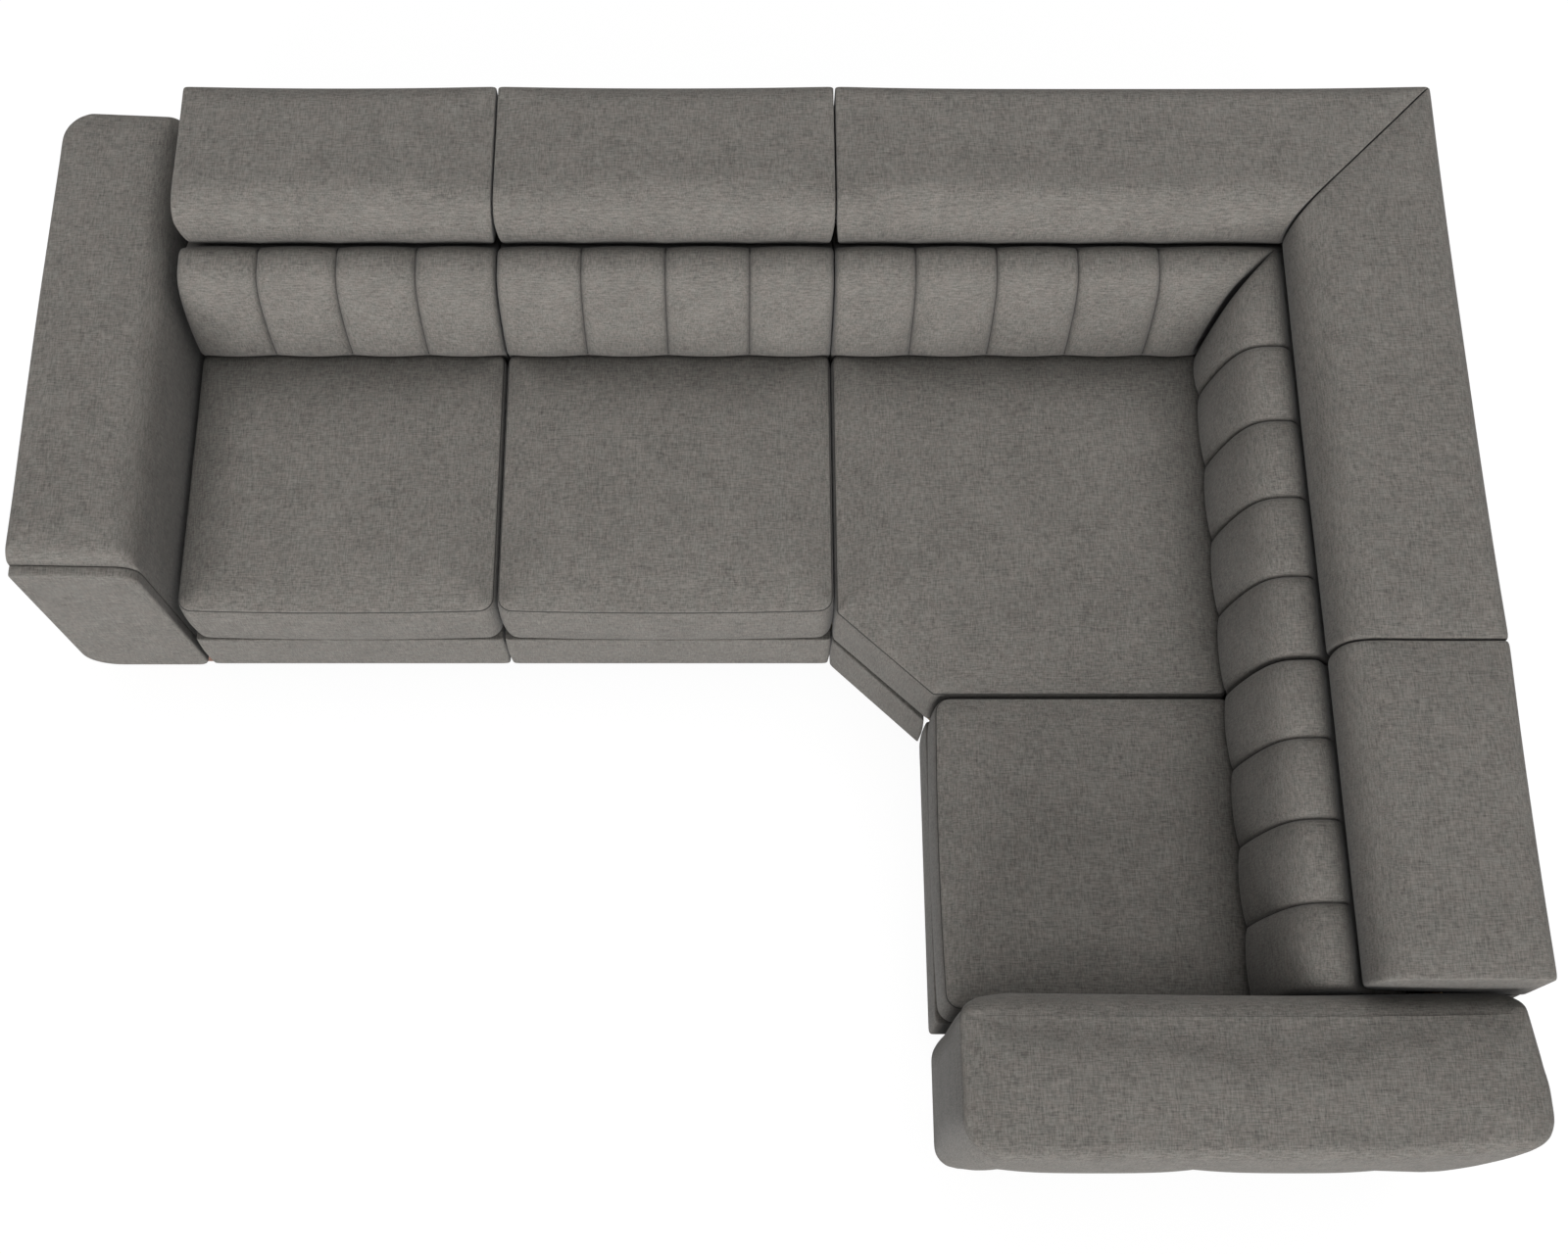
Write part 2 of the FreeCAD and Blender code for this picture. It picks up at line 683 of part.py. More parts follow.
# Timber base frames, dust covers, springs, fascias and seats of the straight modules
def straight_module(key, run, low, high):
    start = f"{low} + dim.frame_gap / 2"
    end = f"{high} - dim.frame_gap / 2"
    inner = (f"{start} + dim.rail_thick", f"{end} - dim.rail_thick")
    up = ("dim.foot_height", "line.rail_top")
    across = ("line.rear_rail_line", "line.front_rail_back")
    high_rail = beam(f"high_rail_{key}", run, (inner[1], end), across, up)
    if high in BORDERS:
        high_rail = drilled(f"high_rail_{key}", high_rail, high)
    rails = [
        beam(f"rear_rail_{key}", run, (start, end), ("dim.back_depth", "line.rear_rail_line"), up),
        beam(f"front_rail_{key}", run, (start, end), ("line.front_rail_back", "line.front_rail_line"), up),
        drilled(f"low_rail_{key}", beam(f"low_rail_{key}", run, (start, inner[0]), across, up), low),
        high_rail,
    ]
    keep(group(f"base_frame_{key}", rails), f"base_frame_{key}")
    dust = ("dim.foot_height", "dim.foot_height + dim.dust_thick")
    dust_covers.append(beam(f"dust_{key}", run, inner, across, dust))
    rear_middle = line.rear_rail_line - dim.rail_thick / 2
    front_middle = line.front_rail_back + dim.rail_thick / 2
    middles = shares_between(value(inner[0]), value(inner[1]), int(dim.springs_per_seat))
    spring_set(key, run, [(along, rear_middle, front_middle) for along in middles])

    along = (value(low) + dim.soft_gap, value(high) - dim.soft_gap)
    fascia = plan_of(run, along, (line.fascia_back, line.fascia_line))
    keep(solid(f"base_cover_{key}", fascia_form(fascia)), f"base_cover_{key}")
    bow = dim.seat_bow
    seat = plan_of(run, (along[0] + bow, along[1] - bow), (dim.seat_back_line + bow, dim.run_depth - bow))
    form = solid(f"seat_form_{key}", seat_form(seat))
    foam = beam(
        f"seat_foam_{key}", run, (f"{low} + dim.foam_cover", f"{high} - dim.foam_cover"),
        ("dim.seat_back_line + dim.foam_cover", "dim.run_depth - dim.foam_cover"),
        ("line.base_top + dim.foam_cover_low", "dim.seat_height - dim.foam_cover_low"))
    keep(foam, f"seat_foam_{key}")
    keep(cut(f"seat_cushion_{key}", form, foam), f"seat_cushion_{key}")
    back_frame(key, run, start, end)

    channels = int(dim.channels_per_seat)
    seams = [along[0] + (along[1] - along[0]) * count / channels for count in range(1, channels)]
    form = channelled(run, along[0], seams, lambda across: along[1])
    keep(solid(f"back_cushion_{key}", form), f"back_cushion_{key}")
    skin = beam(f"rear_cover_{key}", run, (f"{low} + dim.soft_gap", f"{high} - dim.soft_gap"),
                ("dim.skin_gap", "line.skin_line"), ("dim.foot_height", "line.frame_top"))
    keep(skin, f"rear_cover_{key}")
    for across_foot in ("dim.foot_inset", "line.front_rail_line - dim.foot_inset"):
        for along_foot in (f"{low} + dim.foot_inset / 2", f"{high} - dim.foot_inset / 2"):
            foot(run, along_foot, across_foot)


def back_frame(key, run, start, end):
    """Two upright boards with rails between them, and straps across their front edges."""
    inner = (f"{start} + dim.rail_thick", f"{end} - dim.rail_thick")
    up = ("dim.foot_height", "line.frame_top")
    deep = ("line.skin_line", "dim.back_depth")
    front = ("line.top_rail_line", "dim.back_depth")
    parts = [
        beam(f"low_post_{key}", run, (start, inner[0]), deep, up),
        beam(f"high_post_{key}", run, (inner[1], end), deep, up),
        beam(f"top_rail_{key}", run, inner, front, ("line.top_rail_low", "line.frame_top")),
        beam(f"mid_rail_{key}", run, inner, front, ("line.base_top", "line.base_top + dim.rail_high")),
        beam(f"foot_rail_{key}", run, inner, deep, ("dim.foot_height", "dim.foot_height + dim.rail_thick")),
    ]
    keep(group(f"back_frame_{key}", parts), f"back_frame_{key}")
    strap_set(key, run, start, end)


def strap_set(key, run, start, end):
    """Elastic straps stretched over the front of the back frame, spread below the top rail."""
    lowest = "(line.base_top + dim.rail_high / 3)"
    pitch = f"(line.top_rail_low - dim.strap_clear - dim.strap_wide - {lowest}) / {STRAPS - 1}"
    for count in range(STRAPS):
        low = f"{lowest} + {count} * {pitch}"
        straps.append(beam(
            f"strap_{key}_{count + 1}", run, (start, end),
            ("dim.back_depth", "dim.back_depth + dim.strap_thick"), (low, f"{low} + dim.strap_wide")))


def spring_set(key, run, places):
    """Zigzag springs, each from one rail's middle to another's: along, then both across."""
    springs = [zigzag(run, *place) for place in places]
    keep(solid(f"seat_springs_{key}", Part.makeCompound(springs)), f"seat_springs_{key}")


def zigzag(run, along, rear, front):
    """One zigzag wire: straight bars joined by half turns of two quarter arcs each."""
    bars = 1 + round((front - rear) / dim.spring_pitch)
    pitch = (front - rear) / (bars - 1)
    bend = pitch / 2
    turn = bend * (1 - ROUND_SHARE)
    half = dim.spring_width / 2
    up = line.rail_top + dim.spring_wire / 2
    edges = []
    side = 1
    for bar in range(bars):
        across = rear + pitch * bar
        end = spot(run, along + side * half, across, up)
        edges.append(Part.LineSegment(spot(run, along - side * half, across, up), end).toShape())
        if bar < bars - 1:
            first = spot(run, along + side * (half + turn), across + bend - turn, up)
            outermost = spot(run, along + side * (half + bend), across + bend, up)
            second = spot(run, along + side * (half + turn), across + bend + turn, up)
            landing = spot(run, along + side * half, across + pitch, up)
            edges.append(Part.Arc(end, first, outermost).toShape())
            edges.append(Part.Arc(outermost, second, landing).toShape())
        side = -side
    path = Part.Wire(edges)
    start = edges[0].Vertexes[0].Point
    way = edges[0].Vertexes[1].Point - start
    ring = Part.Wire(Part.makeCircle(dim.spring_wire / 2, start, way))
    return path.makePipeShell([ring], True, False)


def shares_between(low, high, count):
    return [low + (high - low) * (index + 0.5) / count for index in range(count)]


def foot(run, along, across):
    """A round plastic foot with its glide."""
    number = len(feet) + 1
    cone = doc.addObject("Part::Cone", f"foot_{number}")
    cone.setExpression("Radius1", "dim.foot_low_radius")
    cone.setExpression("Radius2", "dim.foot_top_radius")
    cone.setExpression("Height", "dim.foot_height - dim.glide_high")
    place_at(cone, run, along, across, "dim.glide_high")
    feet.append(cone)
    glide(run, along, across)


def glide(run, along, across):
    disc = doc.addObject("Part::Cylinder", f"glide_{len(glides) + 1}")
    disc.setExpression("Radius", "dim.glide_radius")
    disc.setExpression("Height", "dim.glide_high")
    place_at(disc, run, along, across, "0")
    glides.append(disc)


STRAPS = 3
dust_covers = []
straps = []
feet = []
glides = []


def corner_module():
    """The corner seat: a front cut off at a slant, and two back legs that meet in a post."""
    start = "line.corner_low + dim.frame_gap / 2"
    side_start = "line.corner_side_low + dim.frame_gap / 2"
    up = ("dim.foot_height", "line.rail_top")
    rear = ("dim.back_depth", "line.rear_rail_line")
    slope = "line.diagonal_slope"
    outer_end = f"line.run_side + (line.diagonal_start - dim.frame_gap / 2) / {slope}"
    inner_end = f"line.run_side + (line.diagonal_end - dim.frame_gap / 2) / {slope}"
    step = f"{slope} * dim.frame_gap / 2"
    front_rail = prism("front_rail_corner", [
        (start, f"line.run_front + line.diagonal_start - {step}"), (outer_end, side_start),
        (inner_end, side_start), (start, f"line.run_front + line.diagonal_end - {step}"),
    ], *up)
    low_across = ("line.rear_rail_line", f"dim.run_depth - line.diagonal_end + {step}")
    side_across = ("line.rear_rail_line", f"line.right - ({inner_end})")
    low_rail = beam("low_rail_corner", "main", (start, f"{start} + dim.rail_thick"), low_across, up)
    side_rail = beam(
        "side_rail_corner", "side", (side_start, f"{side_start} + dim.rail_thick"), side_across, up)
    rails = [
        front_rail,
        drilled("low_rail_corner", low_rail, "line.corner_low"),
        drilled("side_rail_corner", side_rail, "line.corner_side_low"),
        beam("rear_rail_corner", "main", (start, "line.right - line.rear_rail_line"), rear, up),
        beam("far_rail_corner", "side", (side_start, "line.rear - dim.back_depth"), rear, up),
    ]
    keep(group("base_frame_corner", rails), "base_frame_corner")

    inside = f"{start} + dim.rail_thick"
    side_inside = f"{side_start} + dim.rail_thick"
    slant = f"line.run_front + line.diagonal_end - {slope} * (dim.frame_gap / 2 + dim.rail_thick)"
    reach = f"line.corner_low + (line.run_front + line.diagonal_end - ({side_inside})) / {slope}"
    dust_covers.append(prism("dust_corner", [
        (inside, slant), (reach, side_inside),
        ("line.right - line.rear_rail_line", side_inside),
        ("line.right - line.rear_rail_line", "line.rear - line.rear_rail_line"),
        (inside, "line.rear - line.rear_rail_line"),
    ], "dim.foot_height", "dim.foot_height + dim.dust_thick"))
    corner_springs()

    low = line.corner_low + dim.soft_gap
    side_low = line.corner_side_low + dim.soft_gap
    front = line.run_front + dim.fascia_setback - line.diagonal_slope * dim.soft_gap
    tip = line.run_side + (dim.fascia_setback - dim.soft_gap) / line.diagonal_slope
    keep(solid("base_cover_corner", fascia_form([
        Vector(low, front), Vector(tip, side_low),
        Vector(tip, side_low + dim.diagonal_cover), Vector(low, front + dim.diagonal_cover),
    ])), "base_cover_corner")
    bow = dim.seat_bow
    back_x = line.right - dim.seat_back_line - bow
    back_y = line.rear - dim.seat_back_line - bow
    form = solid("seat_form_corner", seat_form([
        Vector(low + bow, line.run_front + bow), Vector(line.run_side + bow, side_low + bow),
        Vector(back_x, side_low + bow), Vector(back_x, back_y), Vector(low + bow, back_y),
    ]))
    cover = "dim.foam_cover"
    slant_cover = f"{cover} * sqrt(1 + {slope} * {slope})"
    foam_fall = f"line.run_front + {slant_cover} - line.corner_side_low - {cover}"
    foam_reach = f"line.corner_low + ({foam_fall}) / {slope}"
    foam = prism("seat_foam_corner", [
        (f"line.corner_low + {cover}", f"line.run_front + {slant_cover} - {slope} * {cover}"),
        (foam_reach, f"line.corner_side_low + {cover}"),
        (f"line.right - dim.seat_back_line - {cover}", f"line.corner_side_low + {cover}"),
        (f"line.right - dim.seat_back_line - {cover}", f"line.rear - dim.seat_back_line - {cover}"),
        (f"line.corner_low + {cover}", f"line.rear - dim.seat_back_line - {cover}"),
    ], "line.base_top + dim.foam_cover_low", "dim.seat_height - dim.foam_cover_low")
    keep(foam, "seat_foam_corner")
    keep(cut("seat_cushion_corner", form, foam), "seat_cushion_corner")
    corner_back(start, side_start)


def corner_springs():
    """Springs from the side back rail to the low rail, or to the slanting rail in front of it."""
    rear = line.rear_rail_line - dim.rail_thick / 2
    low_rail = line.right - line.corner_low - dim.frame_gap / 2 - dim.rail_thick / 2
    slanting_top = line.run_front + line.diagonal_end
    side_edge = line.corner_side_low + dim.frame_gap / 2 + dim.rail_thick
    middle = (line.diagonal_start + line.diagonal_end) / 2 + dim.spring_wire + dim.soft_gap
    places = []
    rear_count = int(dim.springs_per_seat)
    for along in shares_between(slanting_top, line.rear - line.rear_rail_line, rear_count):
        places.append((along, rear, low_rail))
    for along in shares_between(side_edge, slanting_top, rear_count // 2):
        landing = line.corner_low + (line.run_front + middle - along) / line.diagonal_slope
        places.append((along, rear, line.right - max(landing, line.right - low_rail)))
    spring_set("corner", "side", places)


def corner_back(start, side_start):
    """Back frame, straps, cushions, rear cover and feet of the corner."""
    up = ("dim.foot_height", "line.frame_top")
    deep = ("line.skin_line", "dim.back_depth")
    front = ("line.top_rail_line", "dim.back_depth")
    outer = ("line.right - dim.back_depth", "line.right - line.skin_line")
    parts = [beam("corner_post", "main", outer, deep, up)]
    for leg, (run, low, end) in LEGS.items():
        first = f"{low} + dim.frame_gap / 2"
        inner = (f"{first} + dim.rail_thick", f"{end} - dim.back_depth")
        heights = {
            "top": ("line.top_rail_low", "line.frame_top"),
            "mid": ("line.base_top", "line.base_top + dim.rail_high"),
        }
        parts.append(beam(f"corner_{leg}_post", run, (first, inner[0]), deep, up))
        for level, rise in heights.items():
            parts.append(beam(f"corner_{leg}_{level}_rail", run, inner, front, rise))
        low_rise = ("dim.foot_height", "dim.foot_height + dim.rail_thick")
        parts.append(beam(f"corner_{leg}_foot_rail", run, inner, deep, low_rise))
        strap_set(f"corner_{leg}", run, first, f"{end} - dim.back_depth - dim.strap_thick")

        begin = value(low) + dim.soft_gap
        mitre = value(end) - dim.headrest_gap / 2
        seams = [begin + dim.corner_channel * (count + 1) for count in range(int(dim.channels_per_seat))]
        form = channelled(run, begin, seams, lambda across, mitre=mitre: mitre - across)
        keep(solid(f"back_cushion_corner_{leg}", form), f"back_cushion_corner_{leg}")
        cap_low = value(low) + dim.headrest_gap / 2
        cap = headrest_form(run, cap_low, value(end) + dim.overrun, (True, False))
        keep(solid(f"corner_cap_{leg}", cap.cut(mitre_half(run))), f"corner_cap_{leg}")
        for across in ("dim.foot_inset", "dim.run_depth - line.diagonal_end - dim.foot_inset"):
            foot(run, f"{low} + dim.foot_inset / 2", across)
    keep(group("back_frame_corner", parts), "back_frame_corner")
    foot("main", "line.right - dim.foot_inset", "dim.foot_inset")
    skins = [
        beam("skin_left", "main", ("line.corner_low + dim.soft_gap", "line.right - dim.skin_gap"),
             ("dim.skin_gap", "line.skin_line"), up),
        beam("skin_right", "side", ("line.corner_side_low + dim.soft_gap", "line.rear - line.skin_line"),
             ("dim.skin_gap", "line.skin_line"), up),
    ]
    keep(group("rear_cover_corner", skins), "rear_cover_corner")


# Headrests with their timber, and the friction hinges that carry them
HEADREST_RISE = 75
BAR_ANGLE = -127
NEAR_SPREAD = 34
FAR_SPREAD = 12
SLOT_STEPS = 3
BAR_HEAD_SHARES = (0.43, 0.4)
CLEAT_SHARES = (0.2, 0.7, 0.52)
BOARD_SHARES = (0.08, 0.44)
ARM_TAIL_SHARE = 0.24
brackets = []
pins = []


def headrest(key, run, low, high, low_gap, high_gap):
    start = value(low) + value(low_gap)
    end = value(high) - value(high_gap)
    form = solid(f"headrest_form_{key}", headrest_form(run, start, end, (True, True)))
    board_low = "line.headrest_low + dim.headrest_skin"
    board_top = f"{board_low} + dim.headrest_board_thick"
    board = beam(
        f"board_{key}", run, (f"{low} + dim.hinge_inset / 2", f"{high} - dim.hinge_inset / 2"),
        [f"dim.headrest_depth * {share}" for share in BOARD_SHARES], (board_low, board_top))
    hollows = [board]
    timbers = [board]
    arms = []
    places = (f"{low} + dim.hinge_inset", f"{high} - dim.hinge_inset - line.hinge_stack")
    for count, place in enumerate(places, start=1):
        name = f"{key}_{count}"
        brackets.append(hinge_bracket(name, run, place))
        arm = hinge_arm(name, run, place)
        arms.append(arm)
        cleat = beam(
            f"cleat_{name}", run,
            (f"{place} + line.hinge_stack", f"{place} + line.hinge_stack + dim.cleat_thick"),
            [f"dim.headrest_depth * {share}" for share in CLEAT_SHARES[:2]],
            (board_top, f"line.headrest_low + dim.headrest_thick * {CLEAT_SHARES[2]}"))
        timbers.append(cleat)
        hub = rod(
            f"hub_space_{name}", run, f"{place} - dim.pin_head - dim.fit_gap", "dim.pivot_line",
            "line.pivot_up", "dim.hub_radius + dim.hub_clearance",
            "line.hinge_stack + 2 * dim.pin_head + 2 * dim.fit_gap")
        hollows += [arm, cleat, hub, solid(f"slot_{name}", slot_form(run, value(place)))]
        pins.append(hinge_pin(name, run, place))
    pad = cut(f"headrest_pad_{key}", form, joined(f"hollows_{key}", hollows))
    keep(pad, f"headrest_pad_{key}")
    keep(group(f"headrest_board_{key}", timbers), f"headrest_board_{key}")
    keep(group(f"hinge_arms_{key}", arms), f"hinge_arms_{key}")


def hub_of(name, run, along, length, radius):
    return rod(name, run, along, "dim.pivot_line", "line.pivot_up", radius, length)


def hinge_bracket(name, run, place):
    """Fixed half of a hinge: a flange on the top rail and a bar that leans forward to the pivot."""
    forward, upward = BAR_HEAD_SHARES
    knee = "line.frame_top - dim.pin_head"
    bar_front = "dim.back_depth + dim.hinge_bar"
    corners = [
        ("dim.back_depth", "line.top_rail_low"), (bar_front, "line.top_rail_low"), (bar_front, knee),
        (f"dim.pivot_line + dim.hinge_bar * {forward}", f"line.pivot_up - dim.hinge_bar * {upward}"),
        (f"dim.pivot_line - dim.hinge_bar * {forward}", f"line.pivot_up + dim.hinge_bar * {upward}"),
        ("dim.back_depth", knee),
    ]
    bar = plate(f"bracket_bar_{name}", run, place, "dim.hinge_thick", corners)
    hub = hub_of(f"bracket_hub_{name}", run, place, "dim.hinge_thick", "dim.hub_radius")
    flange = beam(
        f"bracket_flange_{name}", run, (f"{place} - dim.flange_long", place),
        ("dim.back_depth", "dim.back_depth + dim.flange_thick"), ("line.top_rail_low", knee))
    hole = hub_of(f"bracket_hole_{name}", run, place, "dim.hinge_thick", "dim.pin_radius")
    return cut(f"bracket_{name}", joined(f"bracket_blank_{name}", [bar, hub, flange]), hole)


def hinge_arm(name, run, place):
    """Moving half of a hinge: a bar screwed to the headrest's cleat."""
    start = f"{place} + dim.hinge_thick + dim.hinge_washer"
    tail = f"dim.headrest_depth * {ARM_TAIL_SHARE}"
    level = f"line.headrest_low + dim.headrest_thick * {CLEAT_SHARES[2]}"
    corners = [
        (tail, f"{level} - dim.hinge_bar"), ("dim.pivot_line", "line.pivot_up - dim.hinge_bar / 2"),
        ("dim.pivot_line", "line.pivot_up + dim.hinge_bar / 2"), (tail, level),
    ]
    bar = plate(f"arm_bar_{name}", run, start, "dim.hinge_thick", corners)
    hub = hub_of(f"arm_hub_{name}", run, start, "dim.hinge_thick", "dim.hub_radius")
    hole = hub_of(f"arm_hole_{name}", run, start, "dim.hinge_thick", "dim.pin_radius + dim.pin_play")
    return cut(f"arm_{name}", joined(f"arm_blank_{name}", [bar, hub]), hole)


def hinge_pin(name, run, place):
    """Pin with a head at each end and a friction washer between the two bars."""
    long = "line.hinge_stack + 2 * dim.pin_head"
    head = "dim.pin_radius + dim.pin_head"
    return joined(f"pin_{name}", [
        hub_of(f"pin_bar_{name}", run, f"{place} - dim.pin_head", long, "dim.pin_radius"),
        hub_of(f"pin_low_head_{name}", run, f"{place} - dim.pin_head", "dim.pin_head", head),
        hub_of(f"pin_washer_{name}", run, f"{place} + dim.hinge_thick", "dim.hinge_washer", head),
        hub_of(f"pin_high_head_{name}", run, f"{place} + line.hinge_stack", "dim.pin_head", head),
    ])


def slot_form(run, place):
    """Room in the underside of a headrest for its bracket, over the whole rise of the hinge."""
    first = BAR_ANGLE
    last = BAR_ANGLE + HEADREST_RISE
    near = dim.hub_radius + dim.hub_clearance
    rays = [(near, first - NEAR_SPREAD)]
    for step in range(SLOT_STEPS + 1):
        share = step / SLOT_STEPS
        rays.append((dim.slot_reach, first - FAR_SPREAD + (last - first + 2 * FAR_SPREAD) * share))
    rays.append((near, last + NEAR_SPREAD))
    corners = []
    for reach, angle in rays:
        across = dim.pivot_line + reach * math.cos(math.radians(angle))
        up = line.pivot_up + reach * math.sin(math.radians(angle))
        corners.append(spot(run, place - dim.slot_play, across, up))
    face = Part.Face(Part.makePolygon(corners + corners[:1]))
    return face.extrude(AXES[RUNS[run][0]] * (dim.slot_play + dim.hinge_thick + dim.hinge_washer))


# Arms: a timber box inside a padded shell, with a sewn-on front panel and wooden feet
def sofa_arm(key, place, width, height, slope, draw, along, seams):
    run = ARMS[key]
    front, rear = along
    inner = f"{width} - dim.arm_lean - dim.arm_wall"
    box_front = f"{front} + dim.arm_panel_thick + dim.arm_wall"
    box_rear = f"{rear} - dim.arm_rear_wall"
    top = f"{height} - dim.arm_top_wall"
    outer_board = ("dim.arm_frame_outer", "dim.arm_frame_outer + dim.board_thick")
    inner_board = (f"{inner} - dim.board_thick", inner)
    between = (outer_board[1], inner_board[0])
    long = (box_front, box_rear)
    up = ("dim.foot_height", top)
    under = ("dim.foot_height", f"{top} - dim.board_thick")
    low = ("dim.foot_height", "dim.foot_height + dim.board_thick")
    inner_side = beam(f"arm_inner_board_{key}", run, long, inner_board, up)
    boards = [
        beam(f"arm_outer_board_{key}", run, long, outer_board, up),
        drilled(f"arm_inner_board_{key}", inner_side, place),
        beam(f"arm_top_board_{key}", run, long, between, (f"{top} - dim.board_thick", top)),
        beam(f"arm_front_board_{key}", run, (box_front, f"{box_front} + dim.board_thick"), between, under),
        beam(f"arm_rear_board_{key}", run, (f"{box_rear} - dim.board_thick", box_rear), between, under),
    ]
    foot_places = (
        (f"{box_front} + dim.board_thick", f"{box_front} + dim.board_thick + dim.arm_foot_block"),
        (f"{box_rear} - dim.board_thick - dim.arm_foot_block", f"{box_rear} - dim.board_thick"),
    )
    for count, limits in enumerate(foot_places, start=1):
        boards.append(beam(f"arm_foot_board_{key}_{count}", run, limits, between, low))
    keep(group(f"arm_frame_{key}", boards), f"arm_frame_{key}")

    hollow = beam(f"arm_hollow_{key}", run, long, ("dim.arm_frame_outer", inner),
                  ("dim.foot_height - dim.overrun", top))
    numbers = [value(item) for item in (width, height, slope, draw)]
    form = arm_form(run, value(front), value(rear), *numbers, [value(seam) for seam in seams])
    shell = cut(f"arm_shell_{key}", solid(f"arm_form_{key}", form), hollow)
    keep(drilled(f"arm_cover_{key}", shell, place), f"arm_cover_{key}")
    keep(solid(f"arm_front_panel_{key}", arm_panel_form(run, value(front), *numbers)),
         f"arm_front_panel_{key}")

    across = ("dim.arm_foot_outer", f"{width} - dim.arm_foot_inner")
    ends = (
        (f"{front} + dim.arm_foot_front", f"{front} + dim.arm_foot_front + dim.arm_foot_long"),
        (f"{box_rear} - dim.arm_foot_long", box_rear),
    )
    for limits in ends:
        wood_feet.append(wood_foot(run, limits, across))
        for side in (f"{across[0]} + dim.arm_foot_long / 2", f"{across[1]} - dim.arm_foot_long / 2"):
            glide(run, f"{limits[0]} + dim.arm_foot_long / 2", side)


def wood_foot(run, along, across):
    """A solid wooden block with its upright edges taken off."""
    name = f"wood_foot_{len(wood_feet) + 1}"
    along_axis = RUNS[run][0]
    sides = [across_line(run, limit) for limit in across]
    spans = {along_axis: along, RUNS[run][1]: sides}
    corners = [(spans["x"][a], spans["y"][b]) for a, b in ((0, 0), (1, 0), (1, 1), (0, 1))]
    body = prism(name, corners, "dim.glide_high", "dim.foot_height")
    doc.recompute()
    pad = body.Tip
    upright = [
        f"Edge{number}" for number, edge in enumerate(pad.Shape.Edges, start=1)
        if abs(edge.tangentAt(edge.FirstParameter).z) > 0.5
    ]
    chamfer = body.newObject("PartDesign::Chamfer", f"{name}_edges")
    chamfer.Base = (pad, upright)
    chamfer.setExpression("Size", "dim.arm_foot_chamfer")
    return body


wood_feet = []

for number, place in enumerate(BORDERS, start=1):
    bolt_border(number, place)
for key, (run, low, high) in MODULES.items():
    straight_module(key, run, low, high)
corner_module()
for key, (run, low, high) in MODULES.items():
    low_gap = "dim.headrest_gap / 2" if key == "2" else "dim.headrest_side_gap"
    headrest(key, run, low, high, low_gap, "dim.headrest_gap / 2")
sofa_arm("left", "line.seat_1_low", "dim.left_arm_width", "dim.left_arm_height",
         "dim.left_arm_slope", "dim.left_arm_draw", ("line.run_front", "line.rear"), [])
right_seams = [f"line.run_side + dim.run_depth * {share}" for share in (0.094, 0.456, 0.831)]
sofa_arm("right", "line.seat_3_low", "dim.right_arm_width", "dim.right_arm_height",
         "dim.right_arm_slope", "dim.right_arm_draw", ("line.run_side", "line.right"), right_seams)
keep(group("dust_covers", dust_covers), "dust_covers")
keep(group("back_straps", straps), "back_straps")
keep(group("plastic_feet", feet), "plastic_feet")
keep(group("wooden_feet", wood_feet), "wooden_feet")
keep(group("glides", glides), "glides")
keep(group("hinge_brackets", brackets), "hinge_brackets")
keep(group("hinge_pins", pins), "hinge_pins")
keep(group("module_bolts", bolts), "module_bolts")
keep(group("hook_plates", hook_plates), "hook_plates")

# Nothing is written unless every object is sound
doc.recompute()
faults = [item.Name for item in doc.Objects if {"Invalid", "Error"} & set(item.State)]
faults += [item.Label for item in nodes if item.Shape.isNull() or not item.Shape.isValid()]
if faults:
    raise RuntimeError(f"unsound objects: {faults}")
os.makedirs("parts", exist_ok=True)
for item in nodes:
    item.Shape.exportStep(f"parts/{item.Label}.step")
    print(item.Label, len(item.Shape.Solids), round(item.Shape.Volume / 1e6, 3))
print(len(nodes), "sub-parts")
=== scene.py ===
# %% [markdown]
# A corner sofa, dressed around its fixed frame.
# The timber, springs, hinges and feet are already there as fixed parts. This lesson sews the
# upholstery over them: cushions, channelled backs, tilting headrests and two different arms.
# Everything is in metres: +X along the long run, +Y towards its back, +Z up.

# %% Load the fixed parts
import math

import bmesh
import bpy
import numpy as np
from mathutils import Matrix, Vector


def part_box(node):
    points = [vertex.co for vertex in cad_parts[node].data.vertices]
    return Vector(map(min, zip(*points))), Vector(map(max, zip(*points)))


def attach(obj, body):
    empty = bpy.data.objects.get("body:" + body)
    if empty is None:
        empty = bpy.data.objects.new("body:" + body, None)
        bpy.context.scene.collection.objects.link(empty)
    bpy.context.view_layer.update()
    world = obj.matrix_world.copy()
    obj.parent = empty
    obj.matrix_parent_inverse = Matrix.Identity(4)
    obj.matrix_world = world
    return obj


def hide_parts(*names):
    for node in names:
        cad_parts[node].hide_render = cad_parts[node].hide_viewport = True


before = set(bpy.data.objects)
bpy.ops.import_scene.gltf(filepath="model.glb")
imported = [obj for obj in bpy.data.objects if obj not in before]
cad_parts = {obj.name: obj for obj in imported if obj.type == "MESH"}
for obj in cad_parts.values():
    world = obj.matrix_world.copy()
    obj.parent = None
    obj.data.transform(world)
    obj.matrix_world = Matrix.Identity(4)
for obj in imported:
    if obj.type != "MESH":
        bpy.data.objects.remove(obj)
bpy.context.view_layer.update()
scene = bpy.context.scene

# %% [markdown]
# An upholsterer measures the frame before cutting cloth. Here too, the main lines come from the fixed
# parts: the plain covers at the back give the ends of each module and the outer lines.
# Each run of the sofa reads a place as along, across from its outer face, and up.

# %% Lines of the plan
COVER_INSET = 0.004
COVER_GAP = 0.0008
SEAM_GAP = 0.0015
SEAT_PROUD = 0.006


